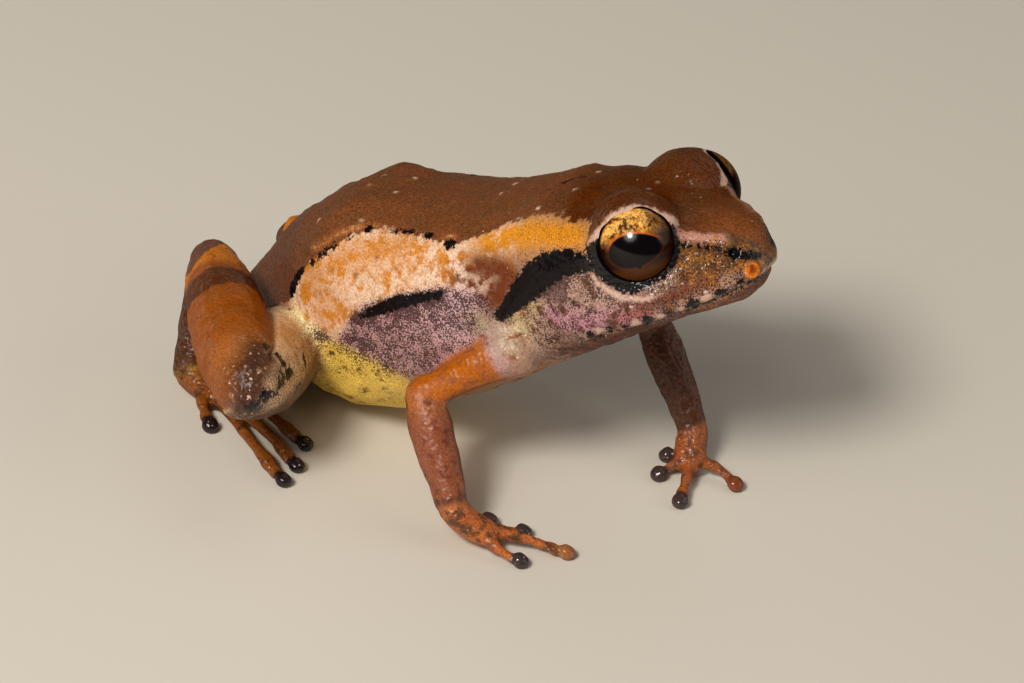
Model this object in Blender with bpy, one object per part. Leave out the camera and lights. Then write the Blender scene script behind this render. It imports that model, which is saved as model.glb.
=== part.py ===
"""Rain frog sitting up on its front legs: a still, life-size solid model in separate body parts.

Sizes are in millimetres in the named values and become metres where a mesh is made.
World axes: +X towards the snout, +Y to the frog's left, +Z up, floor at Z = 0.
The trunk is drawn in its own frame: s runs along the back from the vent to the snout,
y to the left and n away from the belly. That frame is tipped up by the sitting angle.
"""
import math

import bmesh
import bpy
import numpy as np
from mathutils import Vector

MM = 0.001

# Driving sizes
snout_to_vent = 34.7
sitting_angle = math.radians(27)
vent_place = (-14.3, 0.0, 4.8)
seam_gap = 0.3
eye_radius = 2.2
lid_thickness = 0.4
iris_opening = 2.15
digit_radius = 0.38
digit_flatness = (0.95, 0.95, 0.9, 0.9, 0.9, 0.75, 0.8)
palm_flatness = (0.95, 0.85, 0.75)

# Trunk outline: knots of (s, value), all in the trunk's own frame
back_height = [(-1.4, -0.5), (-1.1, 0.1), (0.0, 1.0), (2.0, 2.5), (4.0, 3.8), (6.0, 4.8), (8.5, 5.5),
               (10.0, 5.6), (12.0, 5.2), (15.0, 4.7), (18.0, 4.7), (21.0, 5.0), (23.5, 5.1), (26.0, 4.8),
               (28.5, 4.4), (31.0, 3.6), (33.0, 2.55), (33.9, 1.9), (34.4, 1.3), (snout_to_vent, 0.4)]
belly_depth = [(-1.4, -0.7), (-1.1, -1.6), (0.0, -3.3), (2.0, -5.4), (4.0, -6.8), (6.0, -7.5), (9.0, -7.9),
               (12.0, -7.7), (16.0, -6.9), (19.5, -5.8), (24.0, -4.4), (27.0, -3.4), (30.0, -2.6),
               (31.5, -2.35), (33.0, -2.15), (33.6, -1.8), (34.0, -1.2), (34.35, -0.6), (snout_to_vent, 0.2)]
half_width = [(-1.4, 0.3), (-1.1, 1.1), (0.0, 1.9), (2.0, 3.3), (5.0, 5.2), (8.0, 6.3), (12.0, 6.6),
              (16.0, 6.3), (19.0, 5.7), (21.5, 5.5), (24.0, 5.9), (26.0, 6.1), (28.0, 5.8), (30.0, 5.0),
              (31.5, 3.75), (33.0, 2.65), (33.9, 1.8), (34.4, 1.1), (snout_to_vent, 0.2)]
widest_level = [(-1.4, -0.6), (3.0, -1.2), (8.0, -1.4), (14.0, -1.2), (20.0, -0.6), (24.0, -0.4),
                (28.0, -0.6), (32.0, -0.3), (snout_to_vent, 0.3)]
back_squareness = [(-1.4, 2.0), (6.0, 2.3), (12.0, 2.4), (20.0, 2.4), (26.0, 2.6), (29.5, 2.5), (32.0, 2.2),
                   (snout_to_vent, 2.0)]
belly_squareness = [(-1.4, 2.0), (2.0, 2.6), (8.0, 2.5), (13.0, 2.2), (24.0, 2.3), (31.0, 2.2),
                    (33.5, 2.5), (snout_to_vent, 2.0)]

# Head features in the trunk frame, for the left side; the right side is mirrored
lid_centre = (28.45, 3.2, 2.57)
eye_forward = 0.55
eye_axis = (0.537, 0.84, 0.2)
nostril_place = (33.5, 1.8, 1.0)
nostril_radius = 0.28
mouth_line = [(37.0, -0.75), (34.4, -0.8), (33.4, -1.0), (31.5, -1.45), (29.0, -1.75), (26.6, -2.0),
              (25.4, -2.5), (24.6, -3.7), (24.2, -9.0)]
neck_place = 23.2

# Limb joints in world millimetres: (x, y, z)
right_arm = {"shoulder": (4.6, -5.1, 11.0), "elbow": (0.8, -7.6, 7.3), "wrist": (4.8, -9.3, 2.4)}
left_arm = {"shoulder": (4.6, 5.0, 11.0), "elbow": (6.9, 9.0, 7.2), "wrist": (11.3, 7.9, 2.3)}
right_leg = {"hip": (-10.9, -2.6, 2.8), "knee": (-6.4, -15.15, 8.2), "heel": (-16.0, -3.75, 6.4),
             "ankle": (-14.6, -7.1, 0.95)}
left_leg = {"hip": (-10.8, 2.6, 3.6), "knee": (-4.5, 15.2, 3.3), "heel": (-15.0, 4.5, 4.8),
            "ankle": (-14.9, 9.2, 0.95)}

# Digits: from the knuckle to the tip, world millimetres
right_fingers = {
    "palm": [(4.8, -9.3, 2.4), (5.6, -8.9, 1.5), (6.7, -8.4, 1.05)],
    "first": [(5.9, -8.1, 0.95), (5.8, -7.2, 0.65), (5.9, -6.3, 0.28)],
    "second": [(6.5, -7.8, 0.95), (7.3, -6.9, 0.68), (8.0, -5.9, 0.28)],
    "third": [(6.9, -8.1, 1.0), (9.0, -6.9, 0.78), (10.9, -5.9, 0.28)],
    "fourth": [(6.7, -8.8, 1.0), (8.1, -8.9, 0.7), (9.3, -8.5, 0.28)],
}
left_fingers = {
    "palm": [(11.3, 7.9, 2.3), (11.7, 7.2, 1.5), (12.1, 6.4, 1.05)],
    "first": [(11.5, 6.9, 1.0), (11.0, 6.9, 0.72), (10.5, 6.8, 0.28)],
    "second": [(11.8, 6.2, 1.0), (11.4, 5.4, 0.72), (11.1, 4.7, 0.28)],
    "third": [(12.2, 6.2, 1.0), (12.9, 4.7, 0.78), (13.4, 3.2, 0.28)],
    "fourth": [(12.5, 6.8, 1.0), (13.9, 7.3, 0.7), (15.1, 7.1, 0.28)],
}
right_toes = {
    "sole": [(-14.6, -7.1, 0.95), (-13.4, -7.3, 0.75), (-12.1, -7.5, 0.65)],
    "first": [(-12.8, -6.7, 0.75), (-11.5, -5.7, 0.62), (-10.2, -5.2, 0.28)],
    "second": [(-12.6, -7.0, 0.75), (-9.4, -6.8, 0.72), (-6.0, -7.5, 0.28)],
    "third": [(-12.4, -7.3, 0.8), (-9.8, -7.9, 0.7), (-7.3, -8.8, 0.58), (-5.2, -9.7, 0.28)],
    "fourth": [(-12.6, -7.6, 0.8), (-10.9, -8.4, 0.72), (-7.8, -10.1, 0.6), (-5.0, -11.4, 0.28)],
    "fifth": [(-13.1, -7.8, 0.75), (-12.4, -8.8, 0.62), (-11.1, -9.9, 0.28)],
}
left_toes = {
    "sole": [(-14.9, 9.2, 0.95), (-14.4, 10.2, 0.75), (-13.9, 11.2, 0.65)],
    "first": [(-13.9, 10.4, 0.75), (-12.6, 11.0, 0.65), (-11.2, 11.4, 0.28)],
    "second": [(-13.7, 10.8, 0.75), (-11.7, 12.1, 0.66), (-9.8, 13.5, 0.28)],
    "third": [(-13.8, 11.2, 0.8), (-11.8, 13.1, 0.7), (-9.8, 15.2, 0.58), (-8.3, 16.9, 0.28)],
    "fourth": [(-14.0, 11.4, 0.8), (-12.5, 13.7, 0.72), (-10.6, 16.4, 0.6), (-8.9, 18.9, 0.28)],
    "fifth": [(-14.3, 11.2, 0.75), (-14.2, 13.3, 0.62), (-13.6, 15.2, 0.28)],
}

# Limb half-thicknesses at even steps from joint to joint
upper_arm_girth = [1.75, 1.35, 1.1, 1.0, 1.05]
forearm_girth = [1.05, 1.22, 1.2, 1.08, 0.95]
thigh_girth = [2.4, 2.65, 2.75, 2.55, 2.0]
shank_girth = [1.9, 2.3, 2.35, 2.1, 1.55]
tarsus_girth = [1.35, 1.3, 1.2, 1.0]


# Flesh colours and roughness for each kind of part
part_colours = {"head": (0.23, 0.10, 0.045), "torso": (0.42, 0.24, 0.13), "lower_jaw": (0.55, 0.42, 0.34),
                "eye": (0.32, 0.10, 0.02), "upper_arm": (0.62, 0.25, 0.05), "forearm": (0.36, 0.13, 0.05),
                "hand": (0.42, 0.22, 0.10), "thigh": (0.55, 0.36, 0.22), "shank": (0.50, 0.21, 0.04),
                "tarsus": (0.36, 0.16, 0.06), "foot": (0.45, 0.23, 0.09)}
wet_skin_roughness = 0.35
eye_roughness = 0.05


def clear_scene():
    for thing in list(bpy.data.objects):
        bpy.data.objects.remove(thing)


def smooth_value(knots, place):
    """Value at a place along (place, value) knots, on a curve that is smooth through them."""
    places = [knot[0] for knot in knots]
    values = [knot[1] for knot in knots]
    if place <= places[0]:
        return values[0]
    if place >= places[-1]:
        return values[-1]
    at = max(i for i, known in enumerate(places) if known <= place)
    slopes = []
    for i in (at, at + 1):
        low = max(i - 1, 0)
        high = min(i + 1, len(knots) - 1)
        slopes.append((values[high] - values[low]) / (places[high] - places[low]))
    span = places[at + 1] - places[at]
    t = (place - places[at]) / span
    start_part = (1 + 2 * t) * (1 - t) ** 2 * values[at] + t * (1 - t) ** 2 * span * slopes[0]
    end_part = t * t * (3 - 2 * t) * values[at + 1] + t * t * (t - 1) * span * slopes[1]
    return start_part + end_part


def spine_to_world(point):
    """A point of the trunk frame (s, y, n) in world millimetres."""
    s, y, n = point
    along = math.cos(sitting_angle)
    rise = math.sin(sitting_angle)
    return Vector((vent_place[0] + s * along - n * rise, vent_place[1] + y, vent_place[2] + s * rise + n * along))


def side_of(point, side):
    """The same point on the left (side = 1) or on the right (side = -1)."""
    return (point[0], point[1] * side, point[2])


def make_object(name, points, faces):
    """A new object from millimetre points, stored in metres."""
    mesh = bpy.data.meshes.new(name)
    mesh.from_pydata([tuple(c * MM for c in point) for point in points], [], faces)
    thing = bpy.data.objects.new(name, mesh)
    bpy.context.scene.collection.objects.link(thing)
    return thing


def loft(name, rings, start, end):
    """A closed body through rings of equal count, closed by a fan at each end point."""
    count = len(rings[0])
    points = [point for ring in rings for point in ring]
    faces = []
    for row in range(len(rings) - 1):
        for i in range(count):
            j = (i + 1) % count
            faces.append((row * count + i, row * count + j, (row + 1) * count + j, (row + 1) * count + i))
    points.append(start)
    points.append(end)
    last = (len(rings) - 1) * count
    for i in range(count):
        j = (i + 1) % count
        faces.append((len(points) - 2, j, i))
        faces.append((len(points) - 1, last + i, last + j))
    body = make_object(name, points, faces)
    face_outwards(body)
    return body


def face_outwards(body):
    shape = bmesh.new()
    shape.from_mesh(body.data)
    bmesh.ops.recalc_face_normals(shape, faces=shape.faces)
    if shape.calc_volume(signed=True) < 0:
        bmesh.ops.reverse_faces(shape, faces=shape.faces)
    shape.to_mesh(body.data)
    shape.free()


def apply_modifiers(body):
    """Bake an object's modifiers into its mesh."""
    bpy.context.view_layer.update()
    view = bpy.context.evaluated_depsgraph_get()
    baked = bpy.data.meshes.new_from_object(body.evaluated_get(view))
    body.modifiers.clear()
    body.data = baked


def thin_out(body, triangles):
    """Reduce a body to about this many triangles."""
    shape = bmesh.new()
    shape.from_mesh(body.data)
    bmesh.ops.triangulate(shape, faces=shape.faces)
    now = len(shape.faces)
    shape.to_mesh(body.data)
    shape.free()
    if now > triangles:
        reducer = body.modifiers.new("thin", "DECIMATE")
        reducer.ratio = triangles / now
        apply_modifiers(body)


def boolean(body, operation, tools):
    """Join the tools to a body, or cut them from it, and remove the tools."""
    group = bpy.data.collections.new("tools")
    bpy.context.scene.collection.children.link(group)
    for tool in tools:
        group.objects.link(tool)
    cutter = body.modifiers.new("shape", "BOOLEAN")
    cutter.operation = operation
    cutter.operand_type = "COLLECTION"
    cutter.collection = group
    cutter.solver = "EXACT"
    apply_modifiers(body)
    for tool in tools:
        bpy.data.objects.remove(tool)
    bpy.data.collections.remove(group)


def loose_parts(body):
    """Lists of face indices, one for each closed surface of the mesh, the largest volume first."""
    shape = bmesh.new()
    shape.from_mesh(body.data)
    shape.faces.ensure_lookup_table()
    seen = set()
    parts = []
    for seed in shape.faces:
        if seed.index in seen:
            continue
        seen.add(seed.index)
        stack = [seed]
        faces = []
        while stack:
            face = stack.pop()
            faces.append(face.index)
            for edge in face.edges:
                for other in edge.link_faces:
                    if other.index not in seen:
                        seen.add(other.index)
                        stack.append(other)
        parts.append(faces)
    shape.free()
    return sorted(parts, key=len, reverse=True)


def keep_faces(body, faces):
    """Keep only these faces of the mesh and what they use."""
    wanted = set(faces)
    shape = bmesh.new()
    shape.from_mesh(body.data)
    spare = [face for face in shape.faces if face.index not in wanted]
    bmesh.ops.delete(shape, geom=spare, context="FACES")
    shape.to_mesh(body.data)
    shape.free()


def keep_largest(body):
    keep_faces(body, loose_parts(body)[0])


def cut_by_plane(body, point, outward):
    """Cut off what lies beyond the plane and close the cut with a flat face."""
    shape = bmesh.new()
    shape.from_mesh(body.data)
    everything = list(shape.verts) + list(shape.edges) + list(shape.faces)
    bmesh.ops.bisect_plane(shape, geom=everything, dist=1e-7, plane_co=Vector(point) * MM,
                           plane_no=Vector(outward).normalized(), clear_outer=True)
    rims = [edge for edge in shape.edges if edge.is_boundary]
    bmesh.ops.edgeloop_fill(shape, edges=rims)
    bmesh.ops.triangulate(shape, faces=shape.faces)
    shape.to_mesh(body.data)
    shape.free()


def swollen_copy(body, name, amount):
    """A copy of a body whose surface lies further out by this many millimetres."""
    mesh = body.data.copy()
    copy = bpy.data.objects.new(name, mesh)
    bpy.context.scene.collection.objects.link(copy)
    shifts = [vertex.normal * amount * MM for vertex in mesh.vertices]
    for vertex, shift in zip(mesh.vertices, shifts):
        vertex.co += shift
    return copy


def trunk_section(s, steps):
    """One closed ring of the trunk: a squared ellipse with a back half and a belly half."""
    level = smooth_value(widest_level, s)
    wide = smooth_value(half_width, s)
    rise = smooth_value(back_height, s) - level
    drop = level - smooth_value(belly_depth, s)
    ring = []
    for step in range(steps):
        turn = 2 * math.pi * (step + 0.5) / steps
        above = math.sin(turn) > 0
        power = 2 / smooth_value(back_squareness if above else belly_squareness, s)
        across = math.copysign(abs(math.cos(turn)) ** power, math.cos(turn))
        height = math.copysign(abs(math.sin(turn)) ** power, math.sin(turn))
        ring.append((s, wide * across, level + height * (rise if above else drop)))
    return ring


def trunk_stations(count):
    """Places along the spine, closer together towards both ends."""
    first = back_height[0][0]
    last = back_height[-1][0]
    middle = (first + last) / 2
    reach = (last - first) / 2 - 0.01
    return [middle - reach * math.cos(math.pi * (i + 0.5) / count) for i in range(count)]


def raise_lids(points):
    """Push the skin out over the eyeballs."""
    outer = eye_radius + seam_gap + lid_thickness
    for side in (1, -1):
        centre = np.array(side_of(lid_centre, side))
        away = points - centre
        distance = np.linalg.norm(away, axis=1, keepdims=True)
        softness = 0.35
        blend = np.clip(0.5 + 0.5 * (outer - distance) / softness, 0, 1)
        pushed = distance * (1 - blend) + outer * blend + softness * blend * (1 - blend)
        points = centre + away / distance * pushed
    return points


def swell(points, normals, spots):
    """Low rounded swellings: spots of (place, radius, height) on both sides."""
    for place, radius, height in spots:
        for side in (1, -1):
            away = points - np.array(side_of(place, side))
            amount = height * np.exp(-(away ** 2).sum(axis=1) / radius ** 2)
            points = points + normals * amount[:, None]
    return points


def swell_along(points, normals, route, radius, height):
    """A low rounded ridge along a route of points, on both sides."""
    for side in (1, -1):
        nearest = np.full(len(points), 1e9)
        corners = [np.array(side_of(corner, side)) for corner in route]
        for start, end in zip(corners, corners[1:]):
            run = end - start
            t = np.clip(((points - start) @ run) / (run @ run), 0, 1)
            nearest = np.minimum(nearest, ((points - start - t[:, None] * run) ** 2).sum(axis=1))
        points = points + normals * (height * np.exp(-nearest / radius ** 2))[:, None]
    return points


def make_trunk(stations=96, around=64):
    """Head, lower jaw and torso as one closed body in world millimetres."""
    rings = [trunk_section(s, around) for s in trunk_stations(stations)]
    flat = [point for ring in rings for point in ring]
    centres = np.array([(s, 0, smooth_value(widest_level, s)) for s in trunk_stations(stations)])
    points = np.array(flat)
    outward = points - np.repeat(centres, around, axis=0)
    normals = outward / np.linalg.norm(outward, axis=1, keepdims=True)
    points = swell(points, normals, [((9.6, 3.2, 4.8), 1.3, 0.45), ((22.3, 3.6, 4.4), 1.6, 0.3),
                                     ((25.4, 5.6, -1.6), 1.4, 0.25)])
    points = swell_along(points, normals, [(8.0, 4.6, 3.4), (12.0, 4.9, 3.1), (17.0, 4.7, 3.2),
                                           (22.0, 4.6, 3.4), (26.0, 4.8, 3.3)], 0.8, 0.22)
    points = swell_along(points, normals, [(30.8, 3.8, 2.6), (33.1, 2.1, 2.0)], 0.7, 0.22)
    points = swell_along(points, normals, [(34.6, 0.0, 0.1), (33.4, 2.7, 0.0), (31.0, 4.8, -0.2),
                                           (27.5, 5.9, -0.7)], 0.6, 0.18)
    points = raise_lids(points)
    world = [tuple(spine_to_world(point)) for point in points]
    rings = [world[row * around:(row + 1) * around] for row in range(stations)]
    tail = spine_to_world((back_height[0][0], 0, widest_level[0][1]))
    tip = spine_to_world((snout_to_vent, 0, widest_level[-1][1]))
    return loft("trunk", rings, tail, tip)


def make_ball(name, centre, radius, segments=18, rings=10):
    shape = bmesh.new()
    bmesh.ops.create_uvsphere(shape, u_segments=segments, v_segments=rings, radius=radius * MM)
    bmesh.ops.translate(shape, verts=shape.verts, vec=Vector(centre) * MM)
    bmesh.ops.triangulate(shape, faces=shape.faces)
    mesh = bpy.data.meshes.new(name)
    shape.to_mesh(mesh)
    shape.free()
    ball = bpy.data.objects.new(name, mesh)
    bpy.context.scene.collection.objects.link(ball)
    return ball


def make_rod(name, start, end, radius, sides=24):
    """A closed straight cylinder between two millimetre points."""
    return tube(name, [start, end], [radius, radius], sides=sides, steps=1, round_ends=False)


def path_point(points, t):
    """A point at t of 0 to 1 on a smooth curve through the points, and the curve's direction."""
    knots = range(len(points))
    place = t * (len(points) - 1)
    here = Vector([smooth_value([(k, points[k][axis]) for k in knots], place) for axis in range(3)])
    small = 0.01
    low = max(place - small, 0)
    high = min(place + small, len(points) - 1)
    before = Vector([smooth_value([(k, points[k][axis]) for k in knots], low) for axis in range(3)])
    after = Vector([smooth_value([(k, points[k][axis]) for k in knots], high) for axis in range(3)])
    return here, (after - before).normalized()


def tube(name, points, girth, sides=12, steps=8, flatness=(1.0, 1.0), round_ends=True):
    """A closed tube along a smooth curve; girth is its half-thickness at even steps.

    flatness is its height over its width, at even steps too.
    """
    rows = []
    for step in range(steps + 1):
        t = step / steps
        place, direction = path_point(points, t)
        across = direction.cross(Vector((0, 0, 1)))
        if across.length < 0.05:
            across = direction.cross(Vector((0, 1, 0)))
        across.normalize()
        upward = across.cross(direction).normalized()
        radius = smooth_value([(i / (len(girth) - 1), value) for i, value in enumerate(girth)], t)
        squash = smooth_value([(i / (len(flatness) - 1), value) for i, value in enumerate(flatness)], t)
        rows.append((place, direction, across, upward, radius, squash))
    rings = []
    cap_turns = (0.33, 0.7) if round_ends else ()

    def ring_at(row, shift, shrink):
        place, direction, across, upward, radius, squash = row
        centre = place + direction * shift
        ring = []
        for i in range(sides):
            turn = 2 * math.pi * i / sides
            out = across * math.cos(turn) * radius * shrink
            rise = upward * math.sin(turn) * radius * shrink * squash
            ring.append(tuple(centre + out + rise))
        return ring

    for turn in reversed(cap_turns):
        angle = turn * math.pi / 2
        rings.append(ring_at(rows[0], -rows[0][4] * math.sin(angle), math.cos(angle)))
    for row in rows:
        rings.append(ring_at(row, 0, 1))
    for turn in cap_turns:
        angle = turn * math.pi / 2
        rings.append(ring_at(rows[-1], rows[-1][4] * math.sin(angle), math.cos(angle)))
    reach = 1 if round_ends else 0
    start = rows[0][0] - rows[0][1] * rows[0][4] * reach
    end = rows[-1][0] + rows[-1][1] * rows[-1][4] * reach
    return loft(name, rings, tuple(start), tuple(end))


def part_plane(before, joint, after):
    """The plane through a joint that splits the angle between the bones before and after it.

    Returns its normal, which points from the first bone's side to the second's.
    """
    first = (Vector(before) - Vector(joint)).normalized()
    second = (Vector(after) - Vector(joint)).normalized()
    return (second - first).normalized()


def give_material(thing):
    kind = thing.name.removesuffix("_left").removesuffix("_right")
    paint = bpy.data.materials.new(thing.name)
    paint.use_nodes = True
    shader = paint.node_tree.nodes["Principled BSDF"]
    shader.inputs["Base Color"].default_value = (*part_colours[kind], 1)
    shader.inputs["Roughness"].default_value = eye_roughness if kind == "eye" else wet_skin_roughness
    shader.inputs["Metallic"].default_value = 0
    thing.data.materials.clear()
    thing.data.materials.append(paint)


def centre_on_floor(things):
    """Move the finished animal so that the middle of its outline stands on the origin."""
    corners = [vertex.co for thing in things for vertex in thing.data.vertices]
    middle = [(min(c[axis] for c in corners) + max(c[axis] for c in corners)) / 2 for axis in (0, 1)]
    for thing in things:
        for vertex in thing.data.vertices:
            vertex.co -= Vector((middle[0], middle[1], 0))


def round_shading(thing, sharp_angle=math.radians(50)):
    thing.data.shade_smooth()
    thing.data.set_sharp_from_angle(angle=sharp_angle)


def thin_sheet(name, route, thickness, reach):
    """A thin bent sheet across the whole trunk, along a route of (s, n) points."""
    points = []
    faces = []
    for i, (s, n) in enumerate(route):
        before = Vector(route[max(i - 1, 0)])
        after = Vector(route[min(i + 1, len(route) - 1)])
        run = (after - before).normalized()
        side = Vector((-run.y, run.x)) * thickness / 2
        for y in (-reach, reach):
            points.append(tuple(spine_to_world((s + side.x, y, n + side.y))))
            points.append(tuple(spine_to_world((s - side.x, y, n - side.y))))
    for i in range(len(route) - 1):
        a = i * 4
        b = a + 4
        faces += [(a, a + 2, b + 2, b), (a + 1, b + 1, b + 3, a + 3), (a, b, b + 1, a + 1),
                  (a + 2, a + 3, b + 3, b + 2)]
    last = (len(route) - 1) * 4
    faces += [(0, 1, 3, 2), (last, last + 2, last + 3, last + 1)]
    sheet = make_object(name, points, faces)
    face_outwards(sheet)
    return sheet


def eye_centre(side):
    along = Vector(side_of(eye_axis, side)).normalized()
    return Vector(side_of(lid_centre, side)) + along * eye_forward


def make_head_and_torso():
    """Cut the trunk into head, lower jaw and torso, with sockets, nostrils and the mouth line."""
    trunk = make_trunk()
    thin_out(trunk, 4000)
    cutters = []
    for side in (1, -1):
        centre = eye_centre(side)
        axis = Vector(side_of(eye_axis, side)).normalized()
        socket = eye_radius + seam_gap
        cutters.append(make_ball("socket", spine_to_world(centre), socket))
        cutters.append(make_rod("opening", spine_to_world(centre), spine_to_world(centre + axis * 5), iris_opening))
        nostril = Vector(side_of(nostril_place, side))
        cutters.append(make_ball("nostril", spine_to_world(nostril), nostril_radius, 8, 6))
    reach = 9.0
    cutters.append(thin_sheet("mouth", mouth_line, seam_gap, reach))
    cutters.append(thin_sheet("neck", [(neck_place + 0.8, 9.0), (neck_place, 0.0), (neck_place - 0.6, -9.0)],
                              seam_gap, reach))
    boolean(trunk, "DIFFERENCE", cutters)
    names = {}
    for faces in loose_parts(trunk)[:3]:
        piece = bpy.data.objects.new("piece", trunk.data.copy())
        bpy.context.scene.collection.objects.link(piece)
        keep_faces(piece, faces)
        height = max(vertex.co.z for vertex in piece.data.vertices)
        names[height] = piece
    head, torso, jaw = [names[height] for height in sorted(names, reverse=True)]
    if min(vertex.co.x for vertex in jaw.data.vertices) < min(vertex.co.x for vertex in torso.data.vertices):
        torso, jaw = jaw, torso
    bpy.data.objects.remove(trunk)
    for piece, name in ((head, "head"), (torso, "torso"), (jaw, "lower_jaw")):
        piece.name = name
        piece.data.name = name
    return head, torso, jaw


def make_arm(label, joints, body_cutter):
    """Upper arm and forearm, parted at the elbow, the arm's root cut to the torso's side."""
    shoulder, elbow, wrist = (joints[name] for name in ("shoulder", "elbow", "wrist"))
    split = part_plane(shoulder, elbow, wrist)
    half_gap = split * seam_gap / 2
    upper = tube("upper_arm_" + label, [shoulder, elbow], upper_arm_girth)
    fore = tube("forearm_" + label, [elbow, wrist], forearm_girth)
    cut_by_plane(upper, Vector(elbow) - half_gap, split)
    cut_by_plane(fore, Vector(elbow) + half_gap, -split)
    along = (Vector(wrist) - Vector(elbow)).normalized()
    cut_by_plane(fore, Vector(wrist) - along * seam_gap / 2, along)
    boolean(upper, "DIFFERENCE", [swollen_copy(body_cutter, "skin", seam_gap)])
    keep_largest(upper)
    return [upper, fore]


def make_leg(label, joints, ankle_split, body_cutter):
    """Thigh, shank and tarsus, folded and parted at knee, heel and ankle."""
    hip, knee, heel, ankle = (joints[name] for name in ("hip", "knee", "heel", "ankle"))
    knee_split = part_plane(hip, knee, heel)
    heel_split = part_plane(knee, heel, ankle)
    thigh = tube("thigh_" + label, [hip, knee], thigh_girth, sides=16)
    shank = tube("shank_" + label, [knee, heel], shank_girth, sides=16)
    tarsus = tube("tarsus_" + label, [heel, ankle], tarsus_girth)
    cut_by_plane(thigh, Vector(knee) - knee_split * seam_gap / 2, knee_split)
    cut_by_plane(shank, Vector(knee) + knee_split * seam_gap / 2, -knee_split)
    cut_by_plane(shank, Vector(heel) - heel_split * seam_gap / 2, heel_split)
    cut_by_plane(tarsus, Vector(heel) + heel_split * seam_gap / 2, -heel_split)
    cut_by_plane(tarsus, Vector(ankle) - ankle_split * seam_gap / 2, ankle_split)
    cut_by_plane(tarsus, (0, 0, 0), (0, 0, -1))
    for piece in (thigh, shank, tarsus):
        boolean(piece, "DIFFERENCE", [swollen_copy(body_cutter, "skin", seam_gap)])
        keep_largest(piece)
    return [thigh, shank, tarsus]


def make_digit(name, points):
    """A finger or toe with a swelling at its joint and a wider, flat disc at its tip."""
    girth = [digit_radius * share for share in (1.15, 1.0, 1.12, 0.95, 0.9, 1.45, 1.2)]
    return tube(name, points, girth, sides=7, steps=3 * len(points), flatness=digit_flatness)


def make_paw(name, digits, palm_key, palm_girth, heel_point, heel_direction):
    """A hand or foot: palm and digits in one body, cut flat where it meets the floor."""
    palm = tube(name, digits[palm_key], palm_girth, sides=10, steps=5, flatness=palm_flatness)
    fingers = [make_digit(key, points) for key, points in digits.items() if key != palm_key]
    boolean(palm, "UNION", fingers)
    keep_largest(palm)
    cut_by_plane(palm, heel_point, heel_direction)
    cut_by_plane(palm, (0, 0, 0), (0, 0, -1))
    keep_largest(palm)
    return palm


def build():
    clear_scene()
    head, torso, jaw = make_head_and_torso()
    pieces = [head, torso, jaw]
    for side, label in ((-1, "right"), (1, "left")):
        eye = make_ball("eye_" + label, spine_to_world(eye_centre(side)), eye_radius)
        pieces.append(eye)
    for label, arm, leg, fingers, toes in (("right", right_arm, right_leg, right_fingers, right_toes),
                                           ("left", left_arm, left_leg, left_fingers, left_toes)):
        pieces += make_arm(label, arm, torso)
        wrist_run = (Vector(arm["elbow"]) - Vector(arm["wrist"])).normalized()
        pieces.append(make_paw("hand_" + label, fingers, "palm", [0.95, 1.0, 1.0],
                               Vector(arm["wrist"]) - wrist_run * seam_gap / 2, wrist_run))
        ankle_split = part_plane(leg["heel"], leg["ankle"], toes["sole"][1])
        pieces += make_leg(label, leg, ankle_split, torso)
        pieces.append(make_paw("foot_" + label, toes, "sole", [0.9, 0.95, 0.9],
                               Vector(leg["ankle"]) + ankle_split * seam_gap / 2, -ankle_split))
    for piece in pieces:
        give_material(piece)
        round_shading(piece)
    centre_on_floor(pieces)


build()
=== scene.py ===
"""The looks of a small rain frog at life size: its wet skin, its eyes, a pale floor and soft light.

The frame gives the solids. Sizes inside the sections are in millimetres, and MM turns them into metres.
A place on the body is (s, w, n): s along the spine from the vent, w out to either side and n up from it.
"""

import math

import bpy
import numpy as np
from mathutils import Matrix, Vector, noise
from mathutils.bvhtree import BVHTree


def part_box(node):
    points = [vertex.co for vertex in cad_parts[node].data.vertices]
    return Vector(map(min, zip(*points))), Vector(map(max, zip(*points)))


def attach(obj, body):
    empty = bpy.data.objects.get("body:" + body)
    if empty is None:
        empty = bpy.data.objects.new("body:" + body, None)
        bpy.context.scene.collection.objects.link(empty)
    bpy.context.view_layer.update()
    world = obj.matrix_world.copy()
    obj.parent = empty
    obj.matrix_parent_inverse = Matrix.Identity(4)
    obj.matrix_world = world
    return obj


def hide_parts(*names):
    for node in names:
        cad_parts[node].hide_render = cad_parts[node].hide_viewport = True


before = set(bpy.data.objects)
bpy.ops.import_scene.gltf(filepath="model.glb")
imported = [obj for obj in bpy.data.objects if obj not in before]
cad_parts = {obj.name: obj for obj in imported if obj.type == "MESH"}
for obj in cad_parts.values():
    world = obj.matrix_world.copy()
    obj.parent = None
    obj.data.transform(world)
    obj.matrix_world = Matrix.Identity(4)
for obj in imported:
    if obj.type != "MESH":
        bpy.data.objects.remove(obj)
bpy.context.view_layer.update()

# The skin's shape.
# A frog's skin is one thin, wet sheet that runs from the lips to the toe pads without a seam. It is made
# from the solids of the flesh, swollen until they meet, cast as one, shrunk back and worked like clay.

MM = 0.001
clay_voxel = 0.12
clay_swelling = 0.21
first_softening = 4
body_softening = 8
skin_triangles = 190000
paw_thinning = 0.65
gap_reach = 1.6
far_away = 9.0

flesh_nodes = [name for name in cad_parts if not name.startswith("eye_")]
paw_nodes = [name for name in flesh_nodes if name.startswith("hand_") or name.startswith("foot_")]


def box_middle(node):
    """The middle of a node's box in millimetres."""
    low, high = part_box(node)
    return (low + high) / 2 / MM


def resize_mesh(factor):
    """Resizes the active object's mesh about the origin."""
    bpy.ops.object.mode_set(mode="EDIT")
    bpy.ops.mesh.select_all(action="SELECT")
    bpy.ops.transform.resize(value=(factor, factor, factor), center_override=(0, 0, 0))
    bpy.ops.object.mode_set(mode="OBJECT")


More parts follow.
